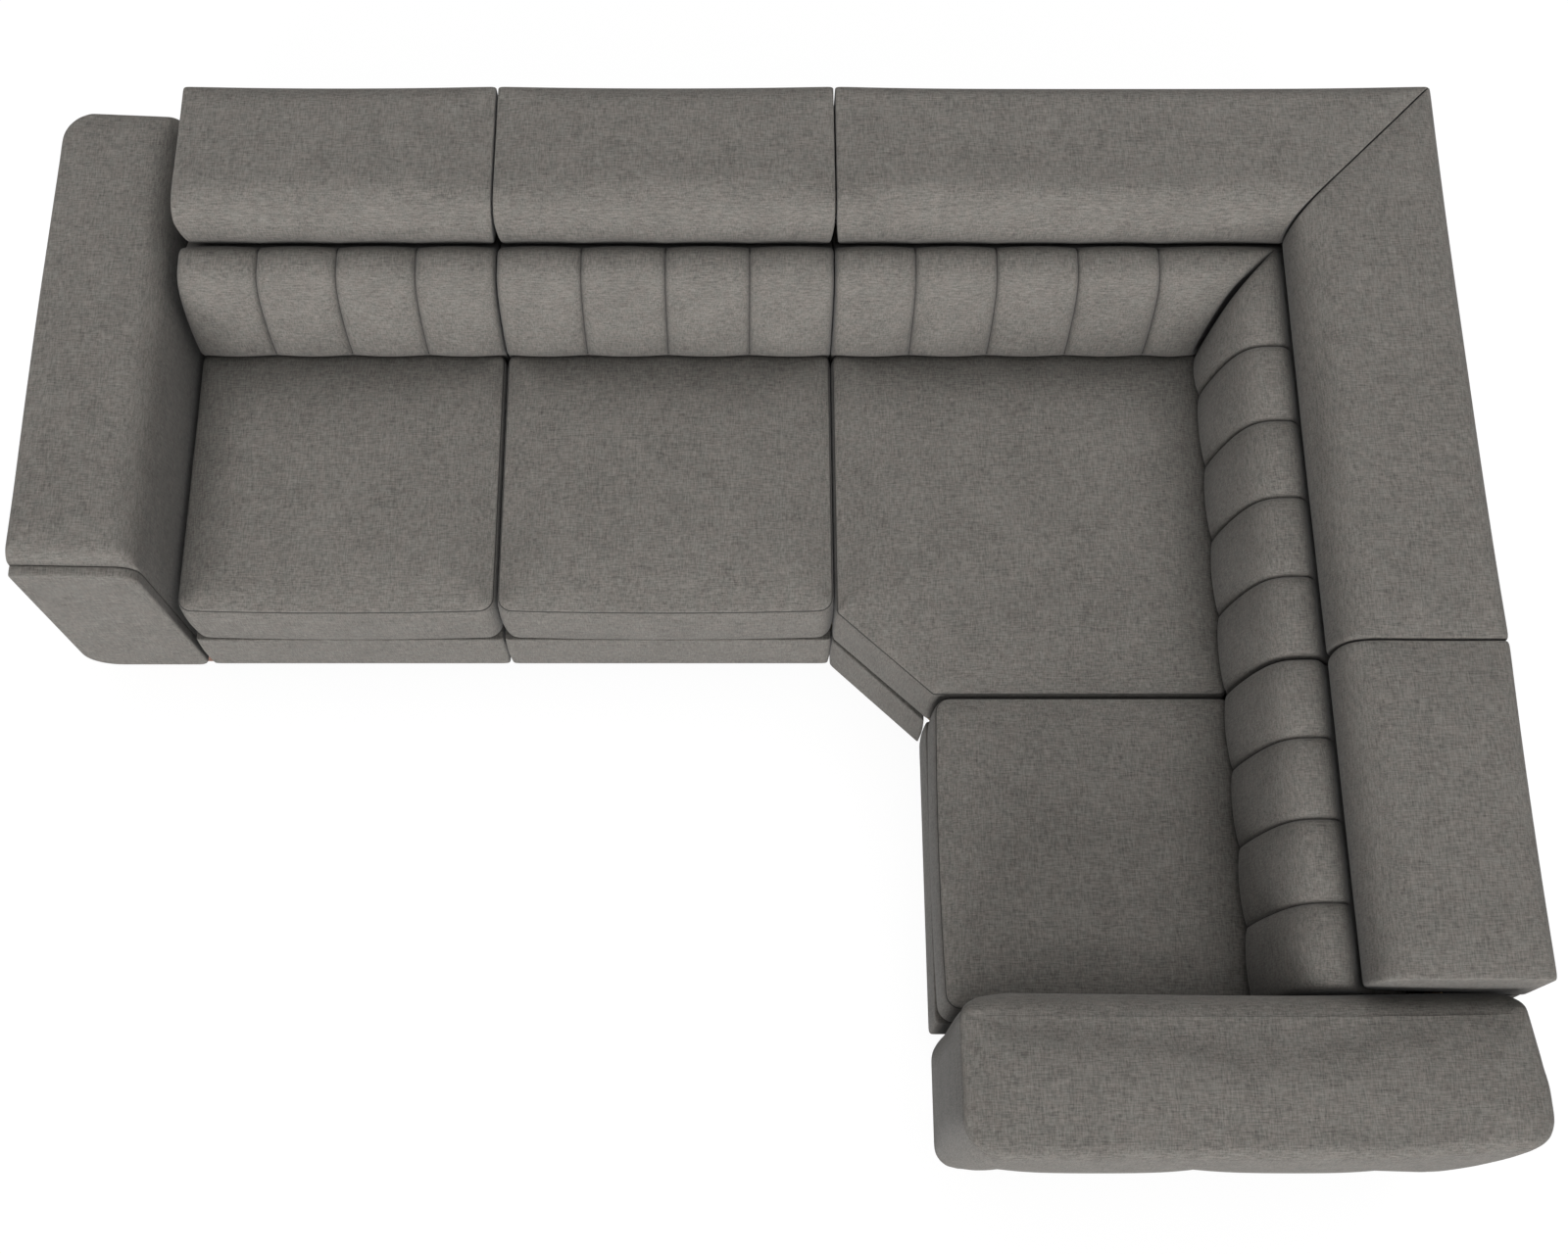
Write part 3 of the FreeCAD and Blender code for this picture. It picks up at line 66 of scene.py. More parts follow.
def ends_of(node, axis):
    low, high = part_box(node)
    return low[axis] - COVER_GAP, high[axis] + COVER_GAP


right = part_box("rear_cover_3")[1].x + COVER_INSET
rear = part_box("rear_cover_1")[1].y + COVER_INSET
base_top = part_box("seat_cushion_1")[0].z
base_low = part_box("base_cover_1")[0].z
RUNS = {"main": (0, 1, rear, -1), "side": (1, 0, right, -1)}
MITRE_ENDS = {"main": right, "side": rear}
MODULES = {"1": ("main", *ends_of("rear_cover_1", 0)), "2": ("main", *ends_of("rear_cover_2", 0)),
           "3": ("side", *ends_of("rear_cover_3", 1))}
corner_low = MODULES["2"][2]
corner_side_low = MODULES["3"][2]
CORNER_STARTS = {"left": ("main", corner_low), "right": ("side", corner_side_low)}
run_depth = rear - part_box("base_cover_1")[0].y + SEAT_PROUD


def place(run, along, across, up):
    """Points of one run as points of the whole sofa."""
    along_axis, across_axis, origin, sign = RUNS[run]
    along, across, up = np.broadcast_arrays(along, across, up)
    points = np.empty(along.shape + (3,))
    points[..., along_axis] = along
    points[..., across_axis] = origin + sign * across
    points[..., 2] = up
    return points


print("outer lines at", round(right, 3), "and", round(rear, 3), "depth of a run", round(run_depth, 3))

# %% [markdown]
# Most covers start as a plan: a closed outline with rounded corners. Points are spent where the line
# bends, because a rounded corner of few points shows as a polygon once light rakes along it.

# %% Outlines with rounded corners
ARC_STEPS = 8
BEND_LENGTH = 0.03


def rounded_loop(corners, radii):
    """A closed outline, and for each corner the number of the point in the middle of its rounding."""
    corners = [np.array(corner, float) for corner in corners]
    points, middles = [], []
    for index, here in enumerate(corners):
        back = corners[index - 1] - here
        ahead = corners[(index + 1) % len(corners)] - here
        back /= np.linalg.norm(back)
        ahead /= np.linalg.norm(ahead)
        half = math.acos(float(np.clip(back @ ahead, -1, 1))) / 2
        leg = radii[index] / math.tan(half)
        centre = here + (back + ahead) / np.linalg.norm(back + ahead) * radii[index] / math.sin(half)
        start = here + back * leg - centre
        end = here + ahead * leg - centre
        first = math.atan2(start[1], start[0])
        turn = (math.atan2(end[1], end[0]) - first + math.pi) % (2 * math.pi) - math.pi
        middles.append(len(points) + ARC_STEPS // 2)
        for step in range(ARC_STEPS + 1):
            angle = first + turn * step / ARC_STEPS
            points.append(centre + radii[index] * np.array([math.cos(angle), math.sin(angle)]))
    return np.array(points), middles


def respaced(line, count):
    """A line of count steps, closer together where it bends."""
    way = np.diff(line, axis=0)
    length = np.linalg.norm(way, axis=1)
    heading = way / np.maximum(length, 1e-9)[:, None]
    bend = np.zeros(len(length))
    turn = np.arccos(np.clip((heading[1:] * heading[:-1]).sum(1), -1, 1))
    bend[:-1] += turn / 2
    bend[1:] += turn / 2
    travel = np.concatenate([[0], np.cumsum(length + BEND_LENGTH * bend)])
    marks = np.linspace(0, travel[-1], count + 1)
    return np.stack([np.interp(marks, travel, line[:, k]) for k in range(line.shape[1])], 1)


def four_sides(corners, radii, turns, counts):
    """The outline as four sides that meet at the corners numbered in turns."""
    points, middles = rounded_loop(corners, radii)
    marks = [middles[turn] for turn in turns]
    sides = []
    for number, start in enumerate(marks):
        end = marks[(number + 1) % 4]
        span = np.arange(start, end + 1 if end > start else end + len(points) + 1) % len(points)
        sides.append(respaced(points[span], counts[number % 2]))
    return sides


def outward(loop):
    """Unit normals of a closed anticlockwise loop, pointing out."""
    way = np.roll(loop, -1, 0) - np.roll(loop, 1, 0)
    normal = np.stack([way[:, 1], -way[:, 0]], 1)
    return normal / np.linalg.norm(normal, axis=1)[:, None]


test_sides = four_sides([(0, 0), (1, 0), (1, 1), (0, 1)], [0.1] * 4, (0, 1, 2, 3), (10, 8))
print("four sides of a test square:", [len(side) for side in test_sides])

# %% [markdown]
# A box cushion is sewn from a top panel, a boxing strip and a bottom. The mesh follows that: rings
# climb the boxing, roll over the top edge, and a grid fills the panel inside the last ring.
# A sewn seam is one ring drawn in and creased, so that it stays sharp when the mesh is smoothed.

# %% Meshes from rings of points
def make_object(name, points, faces):
    mesh = bpy.data.meshes.new(name)
    mesh.from_pydata([tuple(point) for point in points], [], faces)
    mesh.update()
    for polygon in mesh.polygons:
        polygon.use_smooth = True
    obj = bpy.data.objects.new(name, mesh)
    scene.collection.objects.link(obj)
    return obj


def crease_lines(obj, pairs, strength=1.0):
    """Keep these edges sharp under subdivision."""
    mesh = obj.data
    wanted = {(min(a, b), max(a, b)) for a, b in pairs}
    ends = np.empty(len(mesh.edges) * 2, int)
    mesh.edges.foreach_get("vertices", ends)
    ends = np.sort(ends.reshape(-1, 2), axis=1)
    values = np.array([strength if (a, b) in wanted else 0.0 for a, b in ends.tolist()], np.float32)
    layer = mesh.attributes.get("crease_edge") or mesh.attributes.new("crease_edge", "FLOAT", "EDGE")
    layer.data.foreach_set("value", values)


def ring_faces(rows, count):
    faces = []
    for row in range(rows - 1):
        for spot in range(count):
            after = (spot + 1) % count
            faces.append((row * count + spot, row * count + after,
                          (row + 1) * count + after, (row + 1) * count + spot))
    return faces


def filled_grid(sides):
    """Points inside four sides, by the Coons rule."""
    low, east, high, west = sides[0], sides[1], sides[2][::-1], sides[3][::-1]
    u = np.linspace(0, 1, len(low))[:, None, None]
    v = np.linspace(0, 1, len(west))[None, :, None]
    between = (1 - v) * low[:, None] + v * high[:, None] + (1 - u) * west[None] + u * east[None]
    corner = (1 - u) * (1 - v) * low[0] + u * (1 - v) * low[-1] + (1 - u) * v * high[0] + u * v * high[-1]
    return between - corner


def rim_number(i, j, nx, ny):
    if j == 0:
        return i
    if i == nx:
        return nx + j
    if j == ny:
        return nx + ny + (nx - i)
    return (2 * nx + ny + (ny - j)) % (2 * (nx + ny))


def pad_on_plan(name, rings, nx, ny, fill_top, fill_low):
    """A closed pad from rings of points on a plan loop; the two fills give the inner grids."""
    count = 2 * (nx + ny)
    rows = len(rings)
    points = [point for ring in rings for point in ring]
    faces = ring_faces(rows, count)
    for row, grid, flip in ((rows - 1, fill_top, False), (0, fill_low, True)):
        base = len(points)
        points.extend(grid[1:-1, 1:-1].reshape(-1, 3))

        def number(i, j, base=base, row=row):
            if 0 < i < nx and 0 < j < ny:
                return base + (i - 1) * (ny - 1) + j - 1
            return row * count + rim_number(i, j, nx, ny)

        for i in range(nx):
            for j in range(ny):
                quad = (number(i, j), number(i + 1, j), number(i + 1, j + 1), number(i, j + 1))
                faces.append(quad[::-1] if flip else quad)
    return make_object(name, points, faces)


print("mesh helpers ready")

# %% [markdown]
# Filled upholstery is cloth under pressure, held where it is sewn. Blender's cloth tool does this:
# the seams are pinned, a little pressure swells the rest, and the result is kept as the mesh.
# The swelling is capped, so that no cushion grows out of the room that the frame gives it.
# All pieces swell in the same pass over the frames, which is much quicker than one by one.

# %% Swelling the covers
CLOTH_FRAMES = 20
CLOTH_SETTINGS = {"quality": 4, "mass": 0.3, "tension_stiffness": 25, "compression_stiffness": 25,
                  "shear_stiffness": 10, "bending_stiffness": 2, "use_pressure": True,
                  "vertex_group_mass": "held"}
waiting = []


def to_swell(obj, held, cap, pressure=3.0, room=None):
    """Enter a closed mesh for the cloth pass. held is 1 where a point is sewn down."""
    waiting.append({"obj": obj, "held": np.asarray(held, float), "cap": cap, "pressure": pressure,
                    "room": room})
    return obj


def points_of(mesh):
    flat = np.empty(len(mesh.vertices) * 3)
    mesh.vertices.foreach_get("co", flat)
    return flat.reshape(-1, 3)


def swollen_as_cloth():
    """Where the points go under pressure, all pieces in one pass."""
    for item in waiting:
        obj = item["obj"]
        group = obj.vertex_groups.new(name="held")
        for index in np.nonzero(item["held"] > 0)[0]:
            group.add([int(index)], float(item["held"][index]), "REPLACE")
        cloth = obj.modifiers.new("cloth", "CLOTH")
        for name, setting in CLOTH_SETTINGS.items():
            setattr(cloth.settings, name, setting)
        cloth.settings.uniform_pressure_force = item["pressure"]
        cloth.settings.effector_weights.gravity = 0
        cloth.point_cache.frame_end = CLOTH_FRAMES
    scene.frame_start = 1
    for step in range(1, CLOTH_FRAMES + 1):
        scene.frame_set(step)
    graph = bpy.context.evaluated_depsgraph_get()
    moved = [points_of(item["obj"].evaluated_get(graph).data) for item in waiting]
    for item in waiting:
        item["obj"].modifiers.clear()
        item["obj"].vertex_groups.clear()
    scene.frame_set(1)
    return moved


def swell_all():
    rest = [points_of(item["obj"].data) for item in waiting]
    moved = swollen_as_cloth()
    for points, after, item in zip(rest, moved, waiting):
        shift = after - points
        length = np.linalg.norm(shift, axis=1)
        scale = item["cap"] * np.tanh(length / item["cap"]) / np.maximum(length, 1e-9)
        final = points + shift * scale[:, None]
        if item["room"]:
            final = item["room"](final)
        item["obj"].data.vertices.foreach_set("co", final.astype(np.float32).ravel())
        item["obj"].data.update()
        print(item["obj"].name, "points", len(points), "swelled by up to",
              round(float(np.linalg.norm(final - points, axis=1).max()) * 1000, 1), "mm")


def smoothed(obj):
    finer = obj.modifiers.new("finer", "SUBSURF")
    finer.levels = 1
    finer.render_levels = 1
    return obj


def dress(obj, nodes, material, body="sofa"):
    """Give a padded piece its cover, its body and the fixed parts that it stands for."""
    obj.data.materials.append(material)
    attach(obj, body)
    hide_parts(*nodes)
    return obj


print("cloth pass of", CLOTH_FRAMES, "frames")

# %% [markdown]
# The cover is a plain weave of grey-brown yarns of slightly different tones, called melange.
# From a few steps away three things show: short light and dark slubs along both yarn directions,
# soft cloudy patches as wide as a hand, and the odd dark fleck. The pattern is made from noise in the
# object's own space, stretched along each axis and weighed by the way the surface faces, so that
# yarns run true on tops, fronts and ends alike without any unwrapping. Deep creases and gaps also get
# painted shade: an occlusion node darkens the cloth's colour there, because the soft light of the stage
# would fill them.

# %% A shader group helper
def new_group(name, inputs, outputs):
    group = bpy.data.node_groups.new(name, "ShaderNodeTree")
    for label, kind, default in inputs:
        socket = group.interface.new_socket(name=label, in_out="INPUT", socket_type=kind)
        if default is not None:
            socket.default_value = default
    for label, kind in outputs:
        group.interface.new_socket(name=label, in_out="OUTPUT", socket_type=kind)
    start = group.nodes.new("NodeGroupInput")
    end = group.nodes.new("NodeGroupOutput")
    return group, start, end


class Wiring:
    """Short calls that add nodes to one tree and join them."""

    def __init__(self, tree):
        self.tree = tree

    def add(self, kind, **settings):
        node = self.tree.nodes.new(kind)
        for name, setting in settings.items():
            setattr(node, name, setting)
        return node

    def feed(self, value, socket):
        if isinstance(value, bpy.types.NodeSocket):
            self.tree.links.new(value, socket)
        else:
            socket.default_value = value

    def math(self, operation, first, second=0.0, third=None):
        node = self.add("ShaderNodeMath", operation=operation)
        self.feed(first, node.inputs[0])
        self.feed(second, node.inputs[1])
        if third is not None:
            self.feed(third, node.inputs[2])
        return node.outputs[0]

    def stretch(self, vector, scale):
        node = self.add("ShaderNodeVectorMath", operation="MULTIPLY")
        self.feed(vector, node.inputs[0])
        node.inputs[1].default_value = scale
        return node.outputs[0]

    def noise(self, vector, scale, detail=2.0, rough=0.5):
        node = self.add("ShaderNodeTexNoise")
        self.feed(vector, node.inputs["Vector"])
        self.feed(scale, node.inputs["Scale"])
        node.inputs["Detail"].default_value = detail
        node.inputs["Roughness"].default_value = rough
        return node.outputs["Fac"]

    def weighed(self, first, first_share, second, second_share):
        """Two patterns added up, each with its own share."""
        return self.math("ADD", self.math("MULTIPLY", first, first_share),
                           self.math("MULTIPLY", second, second_share))

    def raised(self, shader, height, strength, depth):
        """Let a pattern stand out of a shader's surface a little."""
        bump = self.add("ShaderNodeBump")
        bump.inputs["Strength"].default_value = strength
        bump.inputs["Distance"].default_value = depth
        self.feed(height, bump.inputs["Height"])
        self.feed(bump.outputs[0], shader.inputs["Normal"])

    def mix(self, factor, first, second, blend="MIX"):
        node = self.add("ShaderNodeMix", data_type="RGBA", blend_type=blend)
        self.feed(factor, node.inputs["Factor"])
        self.feed(first, node.inputs[6])
        self.feed(second, node.inputs[7])
        return node.outputs[2]

    def ranged(self, value, low, high, to_low, to_high):
        node = self.add("ShaderNodeMapRange")
        self.feed(value, node.inputs["Value"])
        for label, number in zip(("From Min", "From Max", "To Min", "To Max"),
                                 (low, high, to_low, to_high)):
            node.inputs[label].default_value = number
        return node.outputs["Result"]


print("shader helpers ready")

# %% The melange group: tone and tint of the yarns
YARN_PITCH = 0.0022
FLECK_SCALE = 190.0
FLECK_RANGE = (0.62, 0.78)


def melange_group():
    group, start, end = new_group(
        "melange yarns",
        [("Slub Length", "NodeSocketFloat", 70.0), ("Slub Width", "NodeSocketFloat", 260.0),
         ("Cloud Scale", "NodeSocketFloat", 16.0)],
        [("Slubs", "NodeSocketFloat"), ("Clouds", "NodeSocketFloat"), ("Flecks", "NodeSocketFloat"),
         ("Weave", "NodeSocketFloat")])
    w = Wiring(group)
    where = w.add("ShaderNodeTexCoord")
    facing = w.add("ShaderNodeSeparateXYZ")
    group.links.new(where.outputs["Normal"], facing.inputs[0])
    parts = w.add("ShaderNodeSeparateXYZ")
    group.links.new(where.outputs["Object"], parts.inputs[0])
    slubs = None
    for axis in range(3):
        scaled = w.add("ShaderNodeCombineXYZ")
        for other in range(3):
            factor = start.outputs["Slub Length"] if other == axis else start.outputs["Slub Width"]
            w.feed(w.math("MULTIPLY", parts.outputs[other], factor), scaled.inputs[other])
        yarn = w.noise(scaled.outputs[0], 1.0, 2.0, 0.6)
        level = w.math("MULTIPLY", facing.outputs[axis], facing.outputs[axis])
        across = w.math("SUBTRACT", 1.0, level)
        share = w.math("MULTIPLY", w.math("SUBTRACT", yarn, 0.5), across)
        slubs = share if slubs is None else w.math("ADD", slubs, share)
    w.feed(slubs, end.inputs["Slubs"])
    clouds = w.noise(where.outputs["Object"], start.outputs["Cloud Scale"], 4.0, 0.55)
    w.feed(w.math("SUBTRACT", clouds, 0.5), end.inputs["Clouds"])
    flecks = w.noise(where.outputs["Object"], FLECK_SCALE, 1.0, 0.4)
    w.feed(w.ranged(flecks, *FLECK_RANGE, 0.0, 1.0), end.inputs["Flecks"])
    crossings = None
    for axis in range(3):
        waves = [w.math("SINE", w.math("MULTIPLY", parts.outputs[other], 2 * math.pi / YARN_PITCH))
                 for other in range(3) if other != axis]
        cross = w.math("MULTIPLY", waves[0], waves[1])
        weight = w.math("MULTIPLY", facing.outputs[axis], facing.outputs[axis])
        share = w.math("MULTIPLY", cross, weight)
        crossings = share if crossings is None else w.math("ADD", crossings, share)
    w.feed(w.math("MULTIPLY_ADD", crossings, 0.5, 0.5), end.inputs["Weave"])
    return group


melange = melange_group()
print("melange outputs:", [item.name for item in melange.interface.items_tree if item.in_out == "OUTPUT"])

# %% The woven cover
def new_material(name):
    material = bpy.data.materials.new(name)
    material.use_nodes = True
    shader = material.node_tree.nodes["Principled BSDF"]
    return material, shader, Wiring(material.node_tree)


YARN_SIZES = {"Slub Length": 55.0, "Slub Width": 400.0, "Cloud Scale": 14.0}
SLUB_GAIN = 1.3
CLOUD_GAIN = 0.4
FLECK_GAIN = 0.07
WEAVE_GAIN = 0.10
# Painted shade in creases and gaps: samples and reach of the occlusion, its range, and the darkest tone it
# paints.
PAINTED_SHADE_SAMPLES = 8
PAINTED_SHADE_REACH = 0.20
PAINTED_SHADE_RANGE = (0.15, 0.9)
PAINTED_SHADE_TONE = 0.42


def cover_material(name, warm, cool):
    """Woven cover between a warmer and a cooler yarn colour, with painted shade that darkens its colour in
    creases and gaps.
    """
    material, shader, w = new_material(name)
    yarns = w.add("ShaderNodeGroup", node_tree=melange)
    for label, number in YARN_SIZES.items():
        yarns.inputs[label].default_value = number
    where = w.add("ShaderNodeTexCoord")
    tint = w.ranged(w.noise(where.outputs["Object"], 55.0, 3.0, 0.6), 0.38, 0.62, 0.0, 1.0)
    tone = w.math("MULTIPLY_ADD", yarns.outputs["Slubs"], SLUB_GAIN, 1.0)
    tone = w.math("ADD", tone, w.math("MULTIPLY", yarns.outputs["Clouds"], CLOUD_GAIN))
    tone = w.math("SUBTRACT", tone, w.math("MULTIPLY", yarns.outputs["Flecks"], FLECK_GAIN))
    weave = w.math("SUBTRACT", yarns.outputs["Weave"], 0.5)
    tone = w.math("ADD", tone, w.math("MULTIPLY", weave, WEAVE_GAIN))
    # Painted shade: an occlusion node darkens the cloth's colour in creases and gaps, where shade falls.
    painted_shade_ao = w.add("ShaderNodeAmbientOcclusion", samples=PAINTED_SHADE_SAMPLES)
    painted_shade_ao.inputs["Distance"].default_value = PAINTED_SHADE_REACH
    tone = w.math("MULTIPLY", tone, w.ranged(painted_shade_ao.outputs["AO"], *PAINTED_SHADE_RANGE, PAINTED_SHADE_TONE, 1.0))
    grey = w.add("ShaderNodeCombineColor")
    for label in ("Red", "Green", "Blue"):
        w.feed(tone, grey.inputs[label])
    colour = w.mix(tint, (*warm, 1), (*cool, 1))
    w.feed(w.mix(1.0, colour, grey.outputs[0], "MULTIPLY"), shader.inputs["Base Color"])
    w.feed(w.math("MULTIPLY_ADD", yarns.outputs["Weave"], 0.12, 0.8), shader.inputs["Roughness"])
    height = w.math("ADD", w.math("MULTIPLY", yarns.outputs["Slubs"], 0.8), yarns.outputs["Weave"])
    w.raised(shader, height, 0.35, 0.0006)
    shader.inputs["Specular IOR Level"].default_value = 0.25
    shader.inputs["Sheen Weight"].default_value = 0.12
    shader.inputs["Sheen Roughness"].default_value = 0.5
    return material


def lining_material():
    """Black non-woven felt: short fibres in all directions, and a dull surface."""
    material, shader, w = new_material("black lining")
    where = w.add("ShaderNodeTexCoord").outputs["Object"]
    fibres = w.noise(w.stretch(where, (900.0, 260.0, 500.0)), 1.0, 3.0, 0.6)
    cross = w.noise(w.stretch(where, (260.0, 900.0, 500.0)), 1.0, 3.0, 0.6)
    both = w.weighed(fibres, 0.5, cross, 0.5)
    w.feed(w.mix(w.ranged(both, 0.35, 0.65, 0.0, 1.0), (0.012, 0.012, 0.013, 1), (0.035, 0.035, 0.036, 1)),
           shader.inputs["Base Color"])
    w.feed(w.ranged(both, 0.3, 0.7, 0.8, 0.95), shader.inputs["Roughness"])
    w.raised(shader, both, 0.4, 0.0004)
    shader.inputs["Specular IOR Level"].default_value = 0.2
    return material


COVER_WARM = (0.1635, 0.1500, 0.1360)
COVER_COOL = (0.1570, 0.1500, 0.1365)
woven = cover_material("woven cover", COVER_WARM, COVER_COOL)
print("materials:", len(bpy.data.materials))

# %% [markdown]
# Each seat is a foam box in a sewn cover. The top panel is crowned, and it meets the boxing at a seam
# along the front edge, with a line of topstitching just under it. The corners are rounded in plan, most
# at the front, so neighbouring seats leave a small dark notch where they meet.

# %% Sizes of a seat
seat_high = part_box("seat_cushion_1")[1]
seat_top = seat_high.z
seat_back_line = rear - seat_high.y
SEAM_DROP = 0.020
SEAT_RADIUS = 0.030
REAR_RADIUS = 0.022
SLANT_RADIUS = 0.016
SEAT_STEP = 0.0135
EDGE_ROLL = 0.010
EDGE_RISE = 0.011
CROWN_REACH = 0.11
SEAM_DEPTH = 0.005
seam_up = seat_top - SEAM_DROP
print("seat seam at", round(seam_up, 3), "top at", round(seat_top, 3), "rear line", round(seat_back_line, 3))


def rings_on(loop, levels):
    """Rings over one plan loop: each level is (how far drawn in, height)."""
    normal = outward(loop)
    rings = []
    for inset, up in levels:
        flat = loop - normal * np.reshape(np.broadcast_to(inset, len(loop)), (-1, 1))
        rings.append(np.column_stack([flat, np.broadcast_to(up, len(loop))]))
    return rings


def nearest(points, loop):
    """How far each point lies from the nearest point of a loop."""
    gaps = points[:, None, :2] - loop[None, :, :2]
    return np.sqrt((gaps ** 2).sum(2)).min(1)


def grid_over(ring, nx, ny, height):
    """The inner grid of a ring, with heights worked out from the distance to the ring."""
    marks = [0, nx, nx + ny, 2 * nx + ny, 2 * (nx + ny)]
    closed = np.vstack([ring, ring[:1]])
    sides = [closed[marks[k]:marks[k + 1] + 1] for k in range(4)]
    grid = filled_grid(sides)
    flat = grid.reshape(-1, 3)
    flat[:, 2] = height(flat, nearest(flat, ring))
    return flat.reshape(grid.shape)


def crown(gap):
    """Rise of a seat's top above its seam, by the distance from the seam."""
    rest = SEAM_DROP - EDGE_RISE
    return EDGE_RISE * (1 - np.exp(-gap / EDGE_ROLL)) + rest * (1 - np.exp(-gap / CROWN_REACH))


# %% A seat cushion
SEAT_FOOT_LEVELS = ((0.006, 0), (0.002, 0.002), (0.0005, 0.008))
STITCH_DROP = 0.0065
STITCH_LEVELS = ((0, -0.010), (0.0022, -STITCH_DROP), (0.0006, -0.0035))
TOP_INSETS = (0.0035, 0.0075, 0.0135)
SIDE_BULGE = 0.0035
REAR_HELD = 0.03


def seat_levels():
    """The levels of a seat's rings from its foot to its top, and the row of the seam."""
    levels = [(inset, base_top + rise) for inset, rise in SEAT_FOOT_LEVELS]
    start = base_top + SEAT_FOOT_LEVELS[-1][1]
    end = seam_up + STITCH_LEVELS[0][1]
    count = round((end - start) / SEAT_STEP)
    for step in range(1, count):
        share = step / count
        levels.append((-SIDE_BULGE * math.sin(math.pi * share), start + (end - start) * share))
    levels += [(inset, seam_up + rise) for inset, rise in STITCH_LEVELS]
    seam_row = len(levels)
    levels.append((SEAM_DEPTH, seam_up))
    levels += [(inset, seam_up + float(crown(inset))) for inset in TOP_INSETS]
    return levels, seam_row


def bowed(sides, bows):
    """Sides that belly outwards in their middle."""
    out = []
    for side, bow in zip(sides, bows):
        way = side[-1] - side[0]
        normal = np.array([way[1], -way[0]]) / np.linalg.norm(way)
        share = np.linspace(-1, 1, len(side))[:, None]
        out.append(side + normal * bow * (1 - share ** 2))
    return out


def loop_of(sides):
    return np.vstack([side[:-1] for side in sides])


def seat_cushion(name, sides, rear_gap, room):
    """A seat, with the numbers of the points along its seam and along its topstitching.

    rear_gap gives how far points stand in front of the seat's hidden rear edge.
    """
    nx, ny = len(sides[0]) - 1, len(sides[1]) - 1
    loop = loop_of(sides)
    levels, seam_row = seat_levels()
    rings = rings_on(loop, levels)
    top = grid_over(rings[-1], nx, ny, lambda flat, gap: seam_up + crown(gap + TOP_INSETS[-1]))
    low = grid_over(rings[0], nx, ny, lambda flat, gap: base_top)
    obj = pad_on_plan(name, rings, nx, ny, top, low)
    count = len(loop)
    held = np.zeros(len(obj.data.vertices))
    for row in (0, 1, *range(seam_row - 3, seam_row + 2)):
        held[row * count:(row + 1) * count] = 1
    inner = (nx - 1) * (ny - 1)
    held[len(held) - inner:] = 1
    points = points_of(obj.data)
    held = np.maximum(held, np.clip(1 - rear_gap(points) / REAR_HELD, 0, 1))
    row = seam_row * count
    crease_lines(obj, [(row + k, row + (k + 1) % count) for k in range(count)])
    to_swell(obj, held, cap=0.013, pressure=3.5, room=room)
    return obj, range(row, row + count), range(row - 2 * count, row - count)


# %% Three straight seats
FRONT_SIDES = {"main": 0, "side": 3}
FRONT_CORNERS = {"main": (0, 0, 1, 1), "side": (0, 1, 1, 0)}
ROOM_MARGIN = 0.0004
SEAT_BOW = 0.006


def box_corners(low_x, low_y, high_x, high_y):
    return [(low_x, low_y), (high_x, low_y), (high_x, high_y), (low_x, high_y)]


def straight_sides(run, along, across, radii, step, bow):
    """Four sides of a straight piece; the front one is bowed."""
    ends = place(run, np.array(along), np.array(across), 0.0)
    low, high = ends[:, :2].min(0), ends[:, :2].max(0)
    counts = [max(2, round(length / step)) + 4 for length in high - low]
    radii = [radii[k] for k in FRONT_CORNERS[run]]
    sides = four_sides(box_corners(*low, *high), radii, (0, 1, 2, 3), counts)
    return bowed(sides, [bow if side == FRONT_SIDES[run] else 0 for side in range(4)])


def between(axis, low, high, margin=ROOM_MARGIN):
    """A rule that keeps swollen points between two levels of one axis."""
    def room(points):
        points = points.copy()
        points[:, axis] = np.clip(points[:, axis], low + margin, high - margin)
        return points
    return room


def gap_to_line(axis, line):
    """A rule for how far points stand off a line."""
    return lambda points: np.abs(points[:, axis] - line)


seats = {}
rear_gaps = {}
for key, (run, low, high) in MODULES.items():
    sides = straight_sides(run, (low + SEAM_GAP, high - SEAM_GAP),
                           (seat_back_line, run_depth - SEAT_BOW / 2),
                           (SEAT_RADIUS, REAR_RADIUS), SEAT_STEP, SEAT_BOW)
    along_axis, across_axis, origin, sign = RUNS[run]
    rear_gaps[key] = gap_to_line(across_axis, origin + sign * seat_back_line)
    seats[key] = seat_cushion(f"seat_{key}", sides, rear_gaps[key], between(along_axis, low, high))
print("straight seats:", list(seats))

# %% [markdown]
# The corner seat has five sides, the front one on the slant. Its grid fans out from the slant to the
# hidden rear corner, which keeps every cell four sided without a pole in the middle of the panel.

# %% The corner seat
slant_front = rear - run_depth
slant_side = right - run_depth
rear_x, rear_y = right - seat_back_line, rear - seat_back_line
corner_start, corner_side_start = corner_low + SEAM_GAP, corner_side_low + SEAM_GAP
pentagon = [(corner_start, slant_front), (slant_side, corner_side_start),
            (rear_x, corner_side_start), (rear_x, rear_y), (corner_start, rear_y)]
corner_radii = [SLANT_RADIUS] * 2 + [REAR_RADIUS] * 3
CORNER_COUNTS = (56, 50)
corner_sides = four_sides(pentagon, corner_radii, (0, 1, 2, 4), CORNER_COUNTS)


def corner_room(points):
    points = points.copy()
    points[:, 0] = np.maximum(points[:, 0], corner_low + ROOM_MARGIN)
    points[:, 1] = np.maximum(points[:, 1], corner_side_low + ROOM_MARGIN)
    return points


def corner_rear_gap(points):
    return np.minimum(np.abs(points[:, 0] - rear_x), np.abs(points[:, 1] - rear_y))


